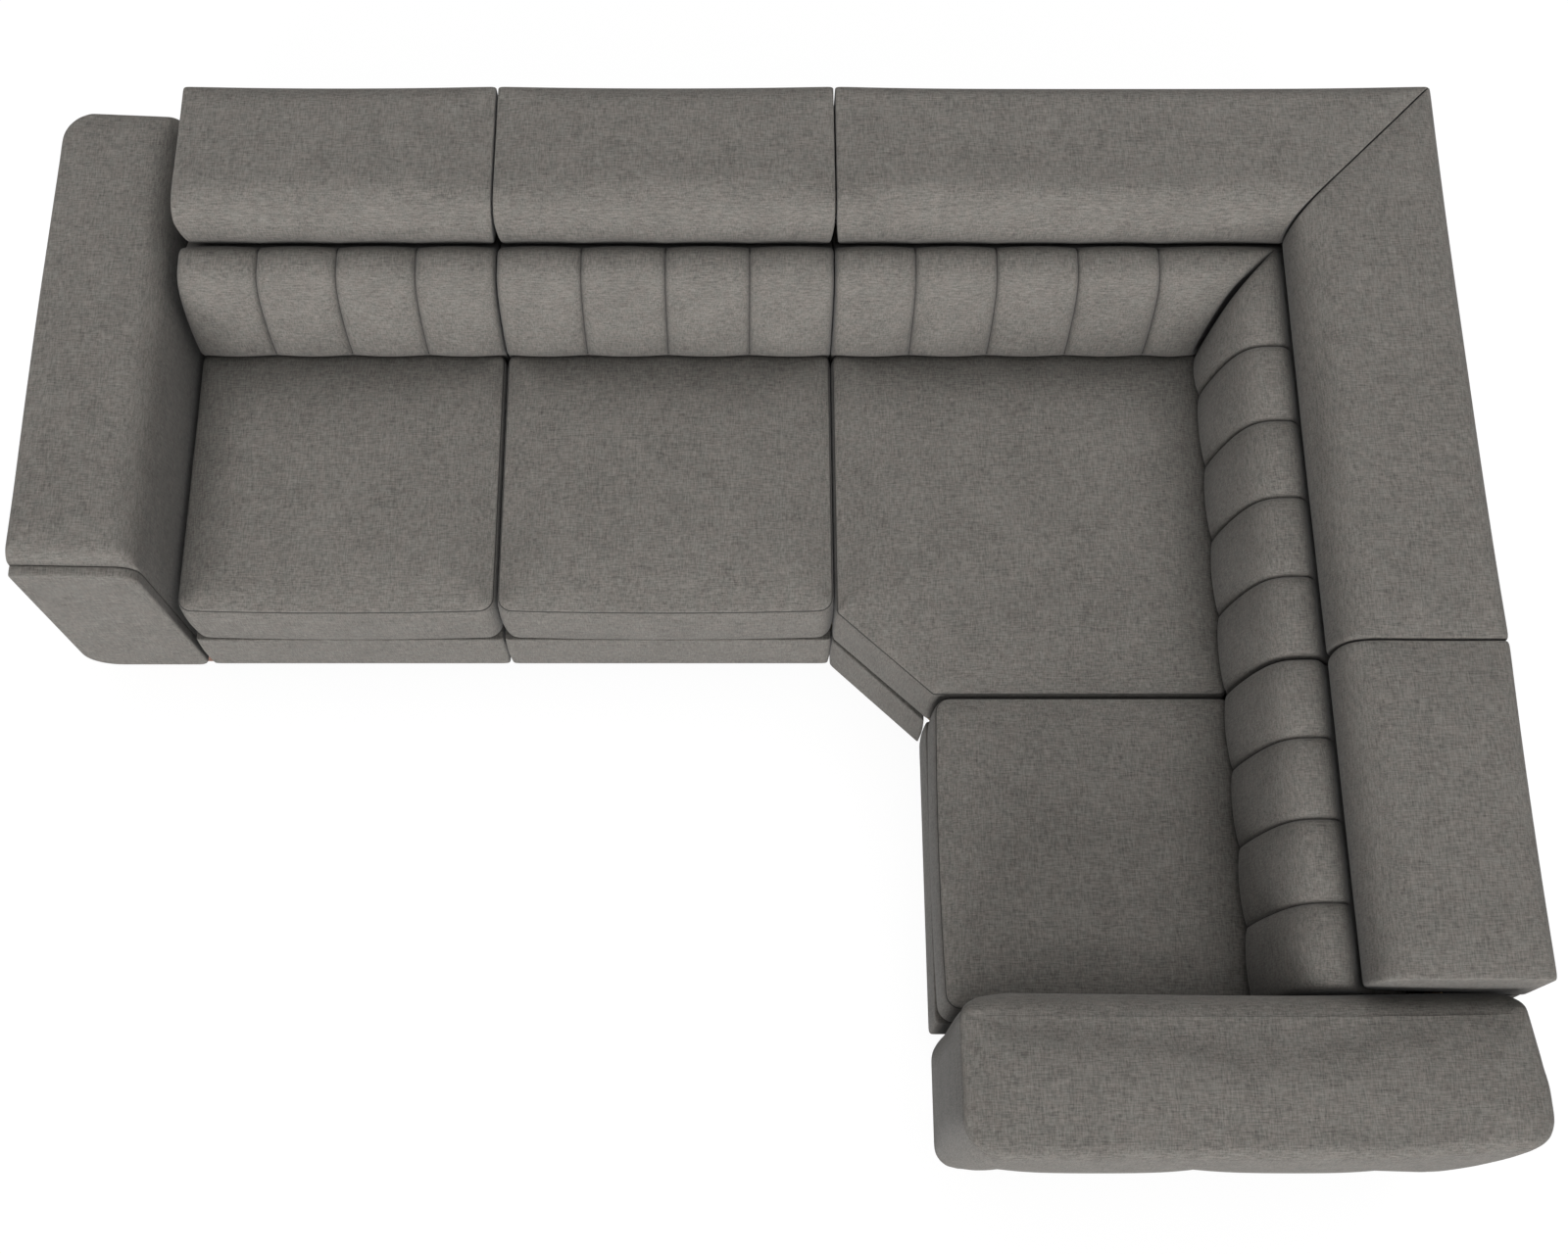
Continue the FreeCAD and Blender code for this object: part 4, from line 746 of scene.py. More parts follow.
rear_gaps["corner"] = corner_rear_gap
seats["corner"] = seat_cushion("seat_corner", corner_sides, corner_rear_gap, corner_room)
print("corner seat sides:", [len(side) for side in corner_sides])

# %% [markdown]
# Under each seat a padded fascia covers the front rail. It is a thin pad of the same cloth, pulled
# tight over board, so it only needs soft edges and a faint belly.

# %% Fascias
FASCIA_EDGES = ((0.003, 0), (0.0009, 0.0009), (0.0001, 0.003), (0, 0.008))
FASCIA_RADIUS = 0.008
FASCIA_PROUD = 0.008
FASCIA_BELLY = 0.0025
BOARD_STEP = 0.02
SLANT_SETBACK = -0.005
SLANT_TIP_INSET = 0.004
SLANT_TIP_RADIUS = 0.002
SLANT_COUNTS = (16, 6)


def flat_pad(name, sides, low, high, edges, belly, step):
    """A board covered in cloth: soft edges above and below, nearly flat between."""
    nx, ny = len(sides[0]) - 1, len(sides[1]) - 1
    levels = [(inset, low + rise) for inset, rise in edges]
    start, end = low + edges[-1][1], high - edges[-1][1]
    count = max(3, round((end - start) / step))
    for number in range(1, count):
        share = number / count
        levels.append((-belly * math.sin(math.pi * share), start + (end - start) * share))
    levels += [(inset, high - rise) for inset, rise in reversed(edges)]
    rings = rings_on(loop_of(sides), levels)
    top = grid_over(rings[-1], nx, ny, lambda flat, gap: high)
    under = grid_over(rings[0], nx, ny, lambda flat, gap: low)
    return smoothed(pad_on_plan(name, rings, nx, ny, top, under))


fascia_low, fascia_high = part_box("base_cover_1")
fascia_across = (rear - fascia_high.y, rear - fascia_low.y + FASCIA_PROUD)
for key, (run, low, high) in MODULES.items():
    sides = straight_sides(run, (low + SEAM_GAP, high - SEAM_GAP), fascia_across,
                           (FASCIA_RADIUS, FASCIA_RADIUS), BOARD_STEP, 0.0)
    fascia = flat_pad(f"fascia_{key}", sides, base_low, fascia_high.z, FASCIA_EDGES, FASCIA_BELLY,
                      BOARD_STEP)
    dress(fascia, [f"base_cover_{key}"], woven)

slant_low = (corner_start, slant_front + SLANT_SETBACK)
slant_tip = (slant_side - SLANT_TIP_INSET, corner_side_low - SLANT_TIP_INSET)
slant_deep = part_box("base_cover_corner")[1].y - slant_low[1]
slant_corners = [slant_low, slant_tip, (slant_tip[0], slant_tip[1] + slant_deep),
                 (slant_low[0], slant_low[1] + slant_deep)]
slant_radii = [FASCIA_RADIUS, SLANT_TIP_RADIUS, FASCIA_RADIUS, FASCIA_RADIUS]
slant_sides = four_sides(slant_corners, slant_radii, (0, 1, 2, 3), SLANT_COUNTS)
slant_fascia = flat_pad("fascia_corner", slant_sides, base_low, fascia_high.z, FASCIA_EDGES,
                        FASCIA_BELLY, BOARD_STEP)
dress(slant_fascia, ["base_cover_corner"], woven)
print("fascias from", round(base_low, 3), "to", round(fascia_high.z, 3))

# %% [markdown]
# The back cushions are channelled: upright seams pull the cover in every hand's breadth and the filling
# swells between them. A side view is drawn once as a curve and carried along the run. Near a seam the
# stations stand close together, so that the valley is narrow and the cushion beside it stays round.

# %% Side views carried along a run
CURVE_FINENESS = 12


def curve_through(points, count, closed=False):
    """A smooth curve through points, walked in count even steps."""
    points = np.array(points, float)
    if closed:
        ends = np.vstack([points[-1:], points, points[:2]])
    else:
        ends = np.vstack([2 * points[0] - points[1], points, 2 * points[-1] - points[-2]])
    share = np.linspace(0, 1, CURVE_FINENESS, endpoint=False)[:, None]
    fine = []
    for k in range(1, len(ends) - 2):
        a, b, c, d = ends[k - 1], ends[k], ends[k + 1], ends[k + 2]
        fine.append(0.5 * (2 * b + (c - a) * share + (2 * a - 5 * b + 4 * c - d) * share ** 2
                           + (3 * b - a - 3 * c + d) * share ** 3))
    fine = np.vstack(fine + [points[:1] if closed else points[-1:]])
    travel = np.concatenate([[0], np.cumsum(np.linalg.norm(np.diff(fine, axis=0), axis=1))])
    marks = np.linspace(0, travel[-1], count + 1)
    line = np.stack([np.interp(marks, travel, fine[:, k]) for k in range(2)], 1)
    return line[:-1] if closed else line


def profile_normals(profile):
    """Unit normals of a closed side view, pointing out whichever way it runs."""
    way = np.roll(profile, -1, 0) - np.roll(profile, 1, 0)
    normal = np.stack([way[:, 1], -way[:, 0]], 1)
    normal /= np.maximum(np.linalg.norm(normal, axis=1), 1e-9)[:, None]
    middle = profile.mean(0)
    if ((profile - middle) * normal).sum() < 0:
        normal = -normal
    return normal


CAP_SHARES = (0.94, 0.82, 0.62, 0.38, 0.16)


def capped_tube(name, sections, dome=(0.0, 0.0)):
    """A closed skin over sections, each end filled by rings that shrink to a point."""
    rows, count = sections.shape[:2]
    points = list(sections.reshape(-1, 3))
    faces = ring_faces(rows, count)
    for row, inner, bulge in ((0, 1, dome[0]), (rows - 1, rows - 2, dome[1])):
        end = sections[row]
        middle = end.mean(0)
        out = middle - sections[inner].mean(0)
        out /= np.linalg.norm(out)
        previous = row * count
        for share in CAP_SHARES:
            start = len(points)
            points.extend(middle + (end - middle) * share + out * bulge * (1 - share ** 2))
            for k in range(count):
                after = (k + 1) % count
                faces.append((previous + k, previous + after, start + after, start + k))
            previous = start
        points.append(middle + out * bulge)
        for k in range(count):
            faces.append((previous + k, previous + (k + 1) % count, len(points) - 1))
    obj = make_object(name, points, faces)
    faces_out(obj)
    return obj


def faces_out(obj):
    """Turn all faces of a closed mesh outwards."""
    mesh = bmesh.new()
    mesh.from_mesh(obj.data)
    bmesh.ops.recalc_face_normals(mesh, faces=mesh.faces)
    mesh.to_mesh(obj.data)
    mesh.free()


print("cap rings per end:", len(CAP_SHARES))

# %% The side view of a back cushion
back_low, back_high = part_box("back_cushion_1")
BACK_HIDDEN = [(0.1530, 0.30), (0.1530, 0.2655), (0.20, 0.2650), (0.36, 0.2650), (0.4200, 0.2655),
               (0.4350, 0.275), (0.4362, 0.33), (0.4362, 0.395), (0.4370, 0.424)]
BACK_FRONT = [(0.4470, 0.4335), (0.4530, 0.4430), (0.4540, 0.462), (0.4505, 0.500), (0.4430, 0.545),
              (0.4350, 0.582), (0.4260, 0.612), (0.4160, 0.635), (0.4020, 0.6535), (0.3860, 0.6640),
              (0.3680, 0.6685), (0.3450, 0.6690)]
BACK_REAR = [(0.3250, 0.6680), (0.3185, 0.6640), (0.3160, 0.6560), (0.3080, 0.6400), (0.2930, 0.6210),
             (0.2600, 0.6030), (0.2200, 0.5950), (0.1990, 0.5700), (0.1960, 0.50), (0.1700, 0.455),
             (0.1530, 0.43)]
HIDDEN_STEPS = 18
FRONT_STEPS = 26
REAR_STEPS = 16
CLIMB_SHARE = 0.08
LIP_FADE = (0.7, 0.3)
hidden = curve_through(BACK_HIDDEN, HIDDEN_STEPS)[:-1]
shown = curve_through(BACK_FRONT, FRONT_STEPS)
behind = curve_through(BACK_REAR, REAR_STEPS)
back_profile = np.vstack([hidden, shown, behind])
back_shown = np.zeros(len(back_profile))
climb = np.linspace(0, 1, len(shown))
lip = len(hidden) + len(shown)
back_shown[len(hidden):lip] = np.clip(climb / CLIMB_SHARE, 0, 1)
back_shown[lip:lip + len(LIP_FADE)] = LIP_FADE
print("back side view:", len(back_profile), "points, box height",
      round(back_high.z - back_low.z, 3))

# %% A channelled back cushion
CHANNEL_MARKS = (0, 0.012, 0.035, 0.075, 0.14, 0.23, 0.34, 0.45, 0.55, 0.66, 0.77, 0.86, 0.925, 0.965,
                 0.988)
HELD_SHARE = 0.02
LEAST_CHANNEL = 0.02
PUFF = 0.0085
PUFF_FULLNESS = 2.2
SEAM_PULL = 0.0085
SEAM_WIDTH = 0.0042
BACK_END_ROUND = 0.009
BACK_END_TUCK = 0.0045
MITRE_TUCK = 0.006
BACK_MITRE_GAP = 0.0012
MODULE_CHANNELS = 4
CORNER_CHANNEL = 0.1675
CORNER_CHANNELS = 4
grooves = {}


def end_tuck(gap, reach, depth):
    """How far a rounded end is drawn in at a distance from that end."""
    share = np.clip(1 - gap / reach, 0, 1)
    return depth * (1 - np.sqrt(np.maximum(1 - share ** 2, 0)))


def back_cushion(name, run, lines, mitred):
    """lines are the seams along the run, ends included; mitred cuts the far end at 45 degrees."""
    normal = profile_normals(back_profile)
    across = back_profile[:, 0]
    far_tuck = MITRE_TUCK if mitred else BACK_END_TUCK
    sections, seams, held_rows = [], [], []
    total = len(lines) - 1
    for channel in range(total):
        last = channel == total - 1
        start = np.full(len(across), lines[channel])
        end = np.full(len(across), lines[channel + 1])
        if mitred and last:
            end = MITRE_ENDS[run] - across - BACK_MITRE_GAP
        width = np.maximum(end - start, LEAST_CHANNEL)
        for mark in CHANNEL_MARKS + ((1,) if last else ()):
            along = start + (end - start) * mark
            near = np.minimum(mark, 1 - mark) * width
            puff = PUFF * (1 - abs(2 * mark - 1) ** PUFF_FULLNESS)
            push = (puff - SEAM_PULL * np.exp(-near / SEAM_WIDTH)) * back_shown
            inset = end_tuck(along - lines[0], BACK_END_ROUND, BACK_END_TUCK)
            if last:
                inset = inset + end_tuck(end - along, BACK_END_ROUND, far_tuck)
            outline_points = back_profile + normal * (push - inset)[:, None]
            sections.append(place(run, along, outline_points[:, 0], outline_points[:, 1]))
            if mark in (0, 1):
                seams.append(len(sections) - 1)
            held_rows.append(mark < HELD_SHARE or mark > 1 - HELD_SHARE)
    obj = capped_tube(name, np.array(sections))
    count = len(back_profile)
    held = np.ones(len(obj.data.vertices))
    for row, pinned in enumerate(held_rows):
        held[row * count:(row + 1) * count] = 1 if pinned else 1 - back_shown
    pairs = []
    for row in seams:
        pairs += [(row * count + k, row * count + k + 1) for k in range(count - 1)]
    crease_lines(obj, pairs, 0.9)
    seen = np.nonzero(back_shown > 0.02)[0]
    grooves[name] = [row * count + seen for row in seams[1:-1]]
    return to_swell(obj, held, cap=0.006, pressure=2.5)


backs = {}
for key, (run, low, high) in MODULES.items():
    lines = np.linspace(low + SEAM_GAP, high - SEAM_GAP, MODULE_CHANNELS + 1)
    backs[key] = back_cushion(f"back_{key}", run, lines, False)
for key, (run, low) in CORNER_STARTS.items():
    inner = [low + CORNER_CHANNEL * k for k in range(1, CORNER_CHANNELS + 1)]
    lines = [low + SEAM_GAP, *inner, MITRE_ENDS[run]]
    backs[f"corner_{key}"] = back_cushion(f"back_corner_{key}", run, lines, True)
print("back cushions:", list(backs))

# %% [markdown]
# Over the back cushions lie the headrests: three that tilt, and two fixed caps that meet in a mitre.
# Folded down, their lips hang over the backs. The side view is level on top, rolls over a full lip and
# tucks under. Nearly flat panels close the ends. Under the lip the ends are drawn in a little, which
# leaves the wedge-shaped notches between neighbours.

# %% The side view of a headrest
BOARD_SKIN = 0.004
headrest_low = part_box("headrest_board_1")[0].z - BOARD_SKIN
DEPTH = 0.313
THICK = 0.164
HEADREST_POINTS = 96
HEADREST_SHARES = (
    (0.035, 0), (0.18, 0), (0.36, 0), (0.54, 0), (0.69, 0.005), (0.81, 0.035), (0.905, 0.105),
    (0.965, 0.24), (0.993, 0.40), (0.998, 0.56), (0.985, 0.73), (0.955, 0.865), (0.905, 0.95),
    (0.84, 0.99), (0.75, 1.0), (0.62, 0.994), (0.48, 0.988), (0.34, 0.986), (0.2, 0.986),
    (0.10, 0.988), (0.045, 0.988), (0.018, 0.980), (0.004, 0.955), (0, 0.89), (0, 0.60), (0, 0.34),
    (0, 0.12), (0.004, 0.045), (0.014, 0.010))
REAR_SKIN = 0.004
headrest_points = [(share * (DEPTH + REAR_SKIN) - REAR_SKIN, headrest_low + height * THICK)
                   for share, height in HEADREST_SHARES]
headrest_profile = curve_through(headrest_points, HEADREST_POINTS, closed=True)
lifted = (headrest_profile[:, 1] - headrest_low) / THICK
print("headrest side view:", len(headrest_profile), "points")

# %% Headrests and caps
HEADREST_STEP = 0.014
END_ROUND = 0.009
END_TUCK = 0.0048
END_DOME = 0.002
END_MARKS = (0, 0.0007, 0.0022, 0.0048, 0.0085, 0.013, 0.020, 0.030)
NOTCH_REACH = 0.03
NOTCH_TOP_SHARE = 0.75
NOTCHES = (0.010, 0.010)
ARM_NOTCHES = (0.022, 0.008)
ARM_END_REACH = 0.0075
CAP_MITRE_GAP = 0.0022
CAP_START_GAP = 0.002
HELD_TOP_SHARE = 0.25
REAR_ROOM = REAR_SKIN + 0.001
LIP_UNDERSIDE = 0.07
LIP_ROOM = 0.004
TOP_ROOM = 0.006
LOW_ROOM = 0.0003


def headrest_room(run, low, high):
    """A rule that keeps a swollen headrest inside its room; high may be None for no far end."""
    along_axis, across_axis, origin, sign = RUNS[run]

    def room(points):
        points = points.copy()
        reach = sign * (points[:, across_axis] - origin)
        front = np.where(points[:, 2] < headrest_low + LIP_UNDERSIDE, DEPTH, DEPTH + LIP_ROOM)
        points[:, across_axis] = origin + sign * np.clip(reach, -REAR_ROOM, front)
        points[:, 2] = np.clip(points[:, 2], headrest_low + LOW_ROOM, headrest_low + THICK + TOP_ROOM)
        points[:, along_axis] = np.clip(points[:, along_axis], low, high)
        return points
    return room


def headrest(name, run, low, high, mitred, body, nodes, notches=NOTCHES):
    """A headrest or cap from low to high; a mitred one runs on to the 45 degree line."""
    normal = profile_normals(headrest_profile)
    across = headrest_profile[:, 0]
    end = MITRE_ENDS[run] - across - CAP_MITRE_GAP if mitred else np.full(len(across), high)
    length = (end - low).mean()
    middle = round((length - 2 * END_MARKS[-1]) / HEADREST_STEP)
    marks = [gap / length for gap in END_MARKS]
    marks += list(np.linspace(END_MARKS[-1] / length, 1 - END_MARKS[-1] / length, middle + 1)[1:-1])
    marks += [1 - gap / length for gap in reversed(END_MARKS)]
    under = np.clip(1 - lifted / NOTCH_TOP_SHARE, 0, 1) * np.clip(across / DEPTH, 0, 1)
    sections = []
    for mark in marks:
        along = low + (end - low) * mark
        gap_low = (end - low) * mark
        gap_high = (end - low) * (1 - mark)
        inset = end_tuck(gap_low, END_ROUND, END_TUCK)
        inset = inset + end_tuck(gap_high, END_ROUND, END_TUCK * (0.5 if mitred else 1))
        outline_points = headrest_profile - normal * inset[:, None]
        slide = under * (notches[0] * np.exp(-gap_low / NOTCH_REACH)
                         - (0 if mitred else notches[1]) * np.exp(-gap_high / NOTCH_REACH))
        sections.append(place(run, along + slide, outline_points[:, 0], outline_points[:, 1]))
    obj = capped_tube(name, np.array(sections), (END_DOME, 0.0 if mitred else END_DOME))
    count = len(headrest_profile)
    held = np.ones(len(obj.data.vertices))
    for row in range(len(marks)):
        pinned = row < 3 or row > len(marks) - 4
        held[row * count:(row + 1) * count] = 1 if pinned else np.clip(1 - lifted / HELD_TOP_SHARE, 0, 1)
    rim = [(row * count + k, row * count + (k + 1) % count)
           for row in (0, len(marks) - 1) for k in range(count)]
    crease_lines(obj, rim, 0.8)
    to_swell(obj, held, cap=0.006, pressure=2.0, room=headrest_room(run, low, None if mitred else high))
    return obj, body, nodes


headrests = []
for key, (run, low, high) in MODULES.items():
    low_side, high_side = ends_of(f"headrest_pad_{key}", RUNS[run][0])
    notches = ARM_NOTCHES if key == "1" else NOTCHES
    low_side -= ARM_END_REACH if key == "3" else 0
    headrests.append(headrest(f"headrest_{key}_pad", run, low_side + COVER_GAP, high_side - COVER_GAP,
                              False, f"headrest_{key}", [f"headrest_pad_{key}"], notches))
for key, (run, low) in CORNER_STARTS.items():
    headrests.append(headrest(f"corner_cap_pad_{key}", run, low + CAP_START_GAP, 0, True, "sofa",
                              [f"corner_cap_{key}"]))
print("headrests and caps:", len(headrests))

# %% [markdown]
# The two arms differ. The left one is a boxed block with a flat panel set on its front end and a large
# roll along its inner top edge. It is carried along its length like the headrests: one side view, drawn
# in at both ends, with the outer rear corner rounded in plan.

# %% The left arm
arm_low, arm_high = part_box("arm_cover_left")
ARM_LEAN = 0.016
ARM_FALL = 0.015
ARM_RADII = (0.068, 0.022, 0.046, 0.011)
REAR_PLAN = 0.062
REAR_DROP = 0.003
FRONT_ROLL = 0.036
FRONT_ROLL_REACH = 0.030
FRONT_SKIN = 0.008
SIDE_SKIN = 0.007
SIDE_BOW = 0.005
VIEW_COUNTS = (22, 38)


def spread_along(low, high, step, low_marks, high_marks):
    """Stations from low to high: close together near both ends, then an even step."""
    first, last = low + low_marks[-1], high - high_marks[-1]
    count = max(2, round((last - first) / step))
    inner = np.linspace(first, last, count + 1)[1:-1]
    return np.concatenate([low + np.array(low_marks), inner, high - np.array(high_marks[::-1])])


def arm_side_view():
    """The left arm seen from its front end, anticlockwise from the outer bottom corner."""
    corners = [(arm_low.x, arm_low.z), (arm_high.x, arm_low.z),
               (arm_high.x - ARM_LEAN, arm_high.z - ARM_FALL), (arm_low.x, arm_high.z)]
    return loop_of(four_sides(corners, ARM_RADII, (0, 1, 2, 3), VIEW_COUNTS))


arm_view = arm_side_view()
arm_view_out = outward(arm_view)
arm_height = arm_high.z - arm_low.z
arm_width = arm_high.x - arm_low.x


def arm_sections(stations, inset_at, pull_at, drop_at):
    """The side view at each station: drawn in all round, pulled in at the outer side, lowered on top."""
    sections = []
    for station in stations:
        flat = arm_view - arm_view_out * inset_at(station)
        share = (arm_high.x - flat[:, 0]) / arm_width
        x = flat[:, 0] + pull_at(station) * np.clip(share, 0, 1)
        rise = (flat[:, 1] - arm_low.z) / arm_height
        z = flat[:, 1] - drop_at(station) * np.clip(rise, 0, 1) ** 3
        sections.append(np.column_stack([x, np.full(len(x), station), z]))
    return np.array(sections)


ARM_STEP = 0.02
ARM_FRONT_MARKS = (0, 0.0008, 0.0025, 0.005, 0.009, 0.014, 0.020, 0.027)
ARM_REAR_MARKS = (0, 0.0015, 0.005, 0.010, 0.017, 0.026, 0.036, 0.048, 0.060, 0.075)
ARM_FRONT_EDGE = 0.002
ARM_REAR_EDGE = 0.010
PANEL_GAP = 0.0006
FOOT_HELD = 0.02
FOOT_FADE = 0.06
ARM_ROOM_OUT = 0.016
ARM_ROOM_IN = 0.0008
arm_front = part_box("arm_front_panel_left")[1].y + PANEL_GAP - FRONT_SKIN
arm_rear = arm_high.y


def arm_inset(station):
    near = end_tuck(station - arm_front, ARM_FRONT_EDGE, ARM_FRONT_EDGE)
    return near + end_tuck(arm_rear - station, ARM_REAR_EDGE, ARM_REAR_EDGE)


def arm_pull(station):
    share = min(max((station - arm_front) / (arm_rear - arm_front), 0), 1)
    bow = SIDE_SKIN + SIDE_BOW * math.sin(math.pi * share)
    return end_tuck(arm_rear - station, REAR_PLAN, REAR_PLAN) - bow


def arm_drop(station):
    behind = end_tuck(arm_rear - station, REAR_PLAN, REAR_DROP)
    return behind + end_tuck(station - arm_front, FRONT_ROLL_REACH, FRONT_ROLL)


stations = spread_along(arm_front, arm_rear, ARM_STEP, ARM_FRONT_MARKS, ARM_REAR_MARKS)
left_arm = capped_tube("arm_left", arm_sections(stations, arm_inset, arm_pull, arm_drop))
count = len(arm_view)
low_part = np.clip(1 - (arm_view[:, 1] - arm_low.z - FOOT_HELD) / FOOT_FADE, 0, 1)
held = np.ones(len(left_arm.data.vertices))
for row in range(len(stations)):
    ends = row < 4 or row > len(stations) - 3
    held[row * count:(row + 1) * count] = 1 if ends else low_part
crease_lines(left_arm, [(k, (k + 1) % count) for k in range(count)], 0.85)
to_swell(left_arm, held, cap=0.0045, pressure=1.6,
         room=between(0, arm_low.x - ARM_ROOM_OUT, arm_high.x + ARM_ROOM_IN))
print("left arm stations:", len(stations), "view points:", count)

# %% The front panel of the left arm
panel_low, panel_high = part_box("arm_front_panel_left")
PANEL_MARKS = (0, 0.0008, 0.0025, 0.005, 0.009)
PANEL_REAR_MARKS = (0, 0.0008, 0.0022, 0.0045)
PANEL_EDGE = 0.006
PANEL_REAR_EDGE = 0.0015
PANEL_DOME = 0.0025
PANEL_STEP = 0.008


def panel_inset(station):
    near = end_tuck(station - panel_front, PANEL_EDGE, PANEL_EDGE)
    return near + end_tuck(panel_rear - station, PANEL_REAR_EDGE, PANEL_REAR_EDGE)


panel_front, panel_rear = panel_low.y + PANEL_DOME - FRONT_SKIN, panel_high.y - FRONT_SKIN
panel_stations = spread_along(panel_front, panel_rear, PANEL_STEP, PANEL_MARKS, PANEL_REAR_MARKS)
panel_sections = arm_sections(panel_stations, panel_inset, lambda s: -SIDE_SKIN, lambda s: FRONT_ROLL)
left_panel = capped_tube("arm_left_panel", panel_sections, (PANEL_DOME, 0.0))
dress(smoothed(left_panel), ["arm_front_panel_left"], woven)
print("panel stations:", len(panel_stations))

# %% [markdown]
# The right arm is one soft block. A crowned panel closes its top, sewn to the sides along the front and
# the outer edge, and upright seams divide the outer side. Its rounding differs from side to side, so each
# point of the plan takes a share of every side's rounding, by the direction in which it faces.

# %% The right arm: plan and rounding
block_low, block_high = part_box("arm_cover_right")
block_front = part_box("arm_front_panel_right")[0].x
BLOCK_TOP = 0.697
TAIL_LONG = 0.30
TAIL_DRAW = 0.020
TAIL_TURN = 0.125
TAIL_INSETS = (0.004, 0.003, 0.026)
BLOCK_RADII = (0.075, 0.30, 0.060, 0.200, 0.040, 0.050)
BLOCK_TURNS = (0, 2, 4, 5)
BLOCK_COUNTS = (50, 26)
TOP_ROUND = {"front": 0.014, "outer": 0.014, "rear": 0.014, "inner": 0.046}
LOW_ROUND = {"front": 0.020, "outer": 0.010, "rear": 0.012, "inner": 0.012}
SIDE_FACING = {"front": (-1, 0), "outer": (0, -1), "rear": (1, 0), "inner": (0, 1)}
SEAM_PLACES = (0.098, 0.474, 0.864)
SEAM_NEIGHBOURS = (-0.016, -0.009, -0.004, 0, 0.004, 0.009, 0.016)
SEAM_CLEARANCE = 0.005
outer_seams = [block_front + spot for spot in SEAM_PLACES]


def with_seams(side, marks):
    """A side with extra points at and beside each seam."""
    extra = np.array([mark + shift for mark in marks for shift in SEAM_NEIGHBOURS])
    clear = np.abs(side[:, 0][:, None] - extra[None]).min(1) > SEAM_CLEARANCE
    clear[[0, -1]] = True
    xs = np.sort(np.concatenate([side[clear, 0], extra]))
    return np.column_stack([xs, np.interp(xs, side[:, 0], side[:, 1])])


tail_low, tail_middle, tail_high = [block_high.x - inset for inset in TAIL_INSETS]
plan = [(block_front, block_low.y), (block_high.x - TAIL_LONG, block_low.y),
        (tail_low, block_low.y + TAIL_DRAW), (tail_middle, block_low.y + TAIL_TURN),
        (tail_high, block_high.y), (block_front, block_high.y)]
block_sides = four_sides(plan, BLOCK_RADII, BLOCK_TURNS, BLOCK_COUNTS)
block_sides[0] = with_seams(block_sides[0], outer_seams)
block_sides[2] = respaced(block_sides[2], len(block_sides[0]) - 1)
block_loop = loop_of(block_sides)
block_out = outward(block_loop)


def by_side(values):
    """Each point's share of a value that each side has."""
    total = np.zeros(len(block_loop))
    for side, facing in SIDE_FACING.items():
        total += values[side] * np.clip(block_out @ np.array(facing, float), 0, 1) ** 2
    return total


top_round, low_round = by_side(TOP_ROUND), by_side(LOW_ROUND)
sewn = by_side({"front": 1, "outer": 1, "rear": 0, "inner": 0})
facing_out = by_side({"front": 0, "outer": 1, "rear": 0, "inner": 0})
print("right arm plan points:", len(block_loop), "seams at", [round(v, 3) for v in outer_seams])

# %% The right arm: rings, seams and swell
ROLL_STEPS = 5
WALL_STEPS = 22
BLOCK_TAPER = 0.034
BLOCK_WAIST = 0.60
TAPER_BEND = 1.4
TAIL_UPRIGHT = 0.9
BLOCK_BULGE = 0.006
BULGE_BEND = 1.6
BULGE_SHARE = 0.4
OUTER_BULGE_LOSS = 0.25
SCALLOP = 0.003
SCALLOP_FULLNESS = 2.6
SCALLOP_END = 0.02
SCALLOP_FADE = 4
SCALLOP_TOP_SHARE = 0.35
VALLEY_WIDTH = 0.006
BLOCK_SEAM = 0.0045
UNDER_SEAM = ((0.007, 0.0), (0.0035, 0.0012))
OVER_SEAM_PULL = 0.002
OVER_SEAM_DROP = 0.001
OVER_SEAM_RISE = 0.003
BLOCK_CROWN = 0.007
BLOCK_CROWN_REACH = 0.07
CREASED_SHARE = 0.55
SEAM_CATCH = 0.001
FACING_SHARE = 0.9
BLOCK_ROOM_OUT = 0.02
BLOCK_ROOM_IN = 0.003


def scallops():
    """Swelling between the upright seams of the outer side, and their valleys."""
    edges = np.array([block_front - SCALLOP_END, *outer_seams, block_high.x + SCALLOP_END])
    spot = np.clip(np.searchsorted(edges, block_loop[:, 0]) - 1, 0, len(edges) - 2)
    start, end = edges[spot], edges[spot + 1]
    share = (block_loop[:, 0] - start) / (end - start)
    near = np.minimum(np.abs(block_loop[:, 0] - start), np.abs(end - block_loop[:, 0]))
    swell = SCALLOP * (1 - np.abs(2 * share - 1) ** SCALLOP_FULLNESS)
    return (swell - BLOCK_SEAM * np.exp(-near / VALLEY_WIDTH)) * facing_out


def taper_at(up):
    """How far the outer side is drawn in below its fullest height."""
    share = np.clip((up - block_low.z) / (BLOCK_WAIST - block_low.z), 0, 1)
    tail = np.clip((block_loop[:, 0] - block_high.x + TAIL_LONG) / TAIL_LONG, 0, 1)
    return BLOCK_TAPER * (1 - share) ** TAPER_BEND * facing_out * (1 - TAIL_UPRIGHT * tail)


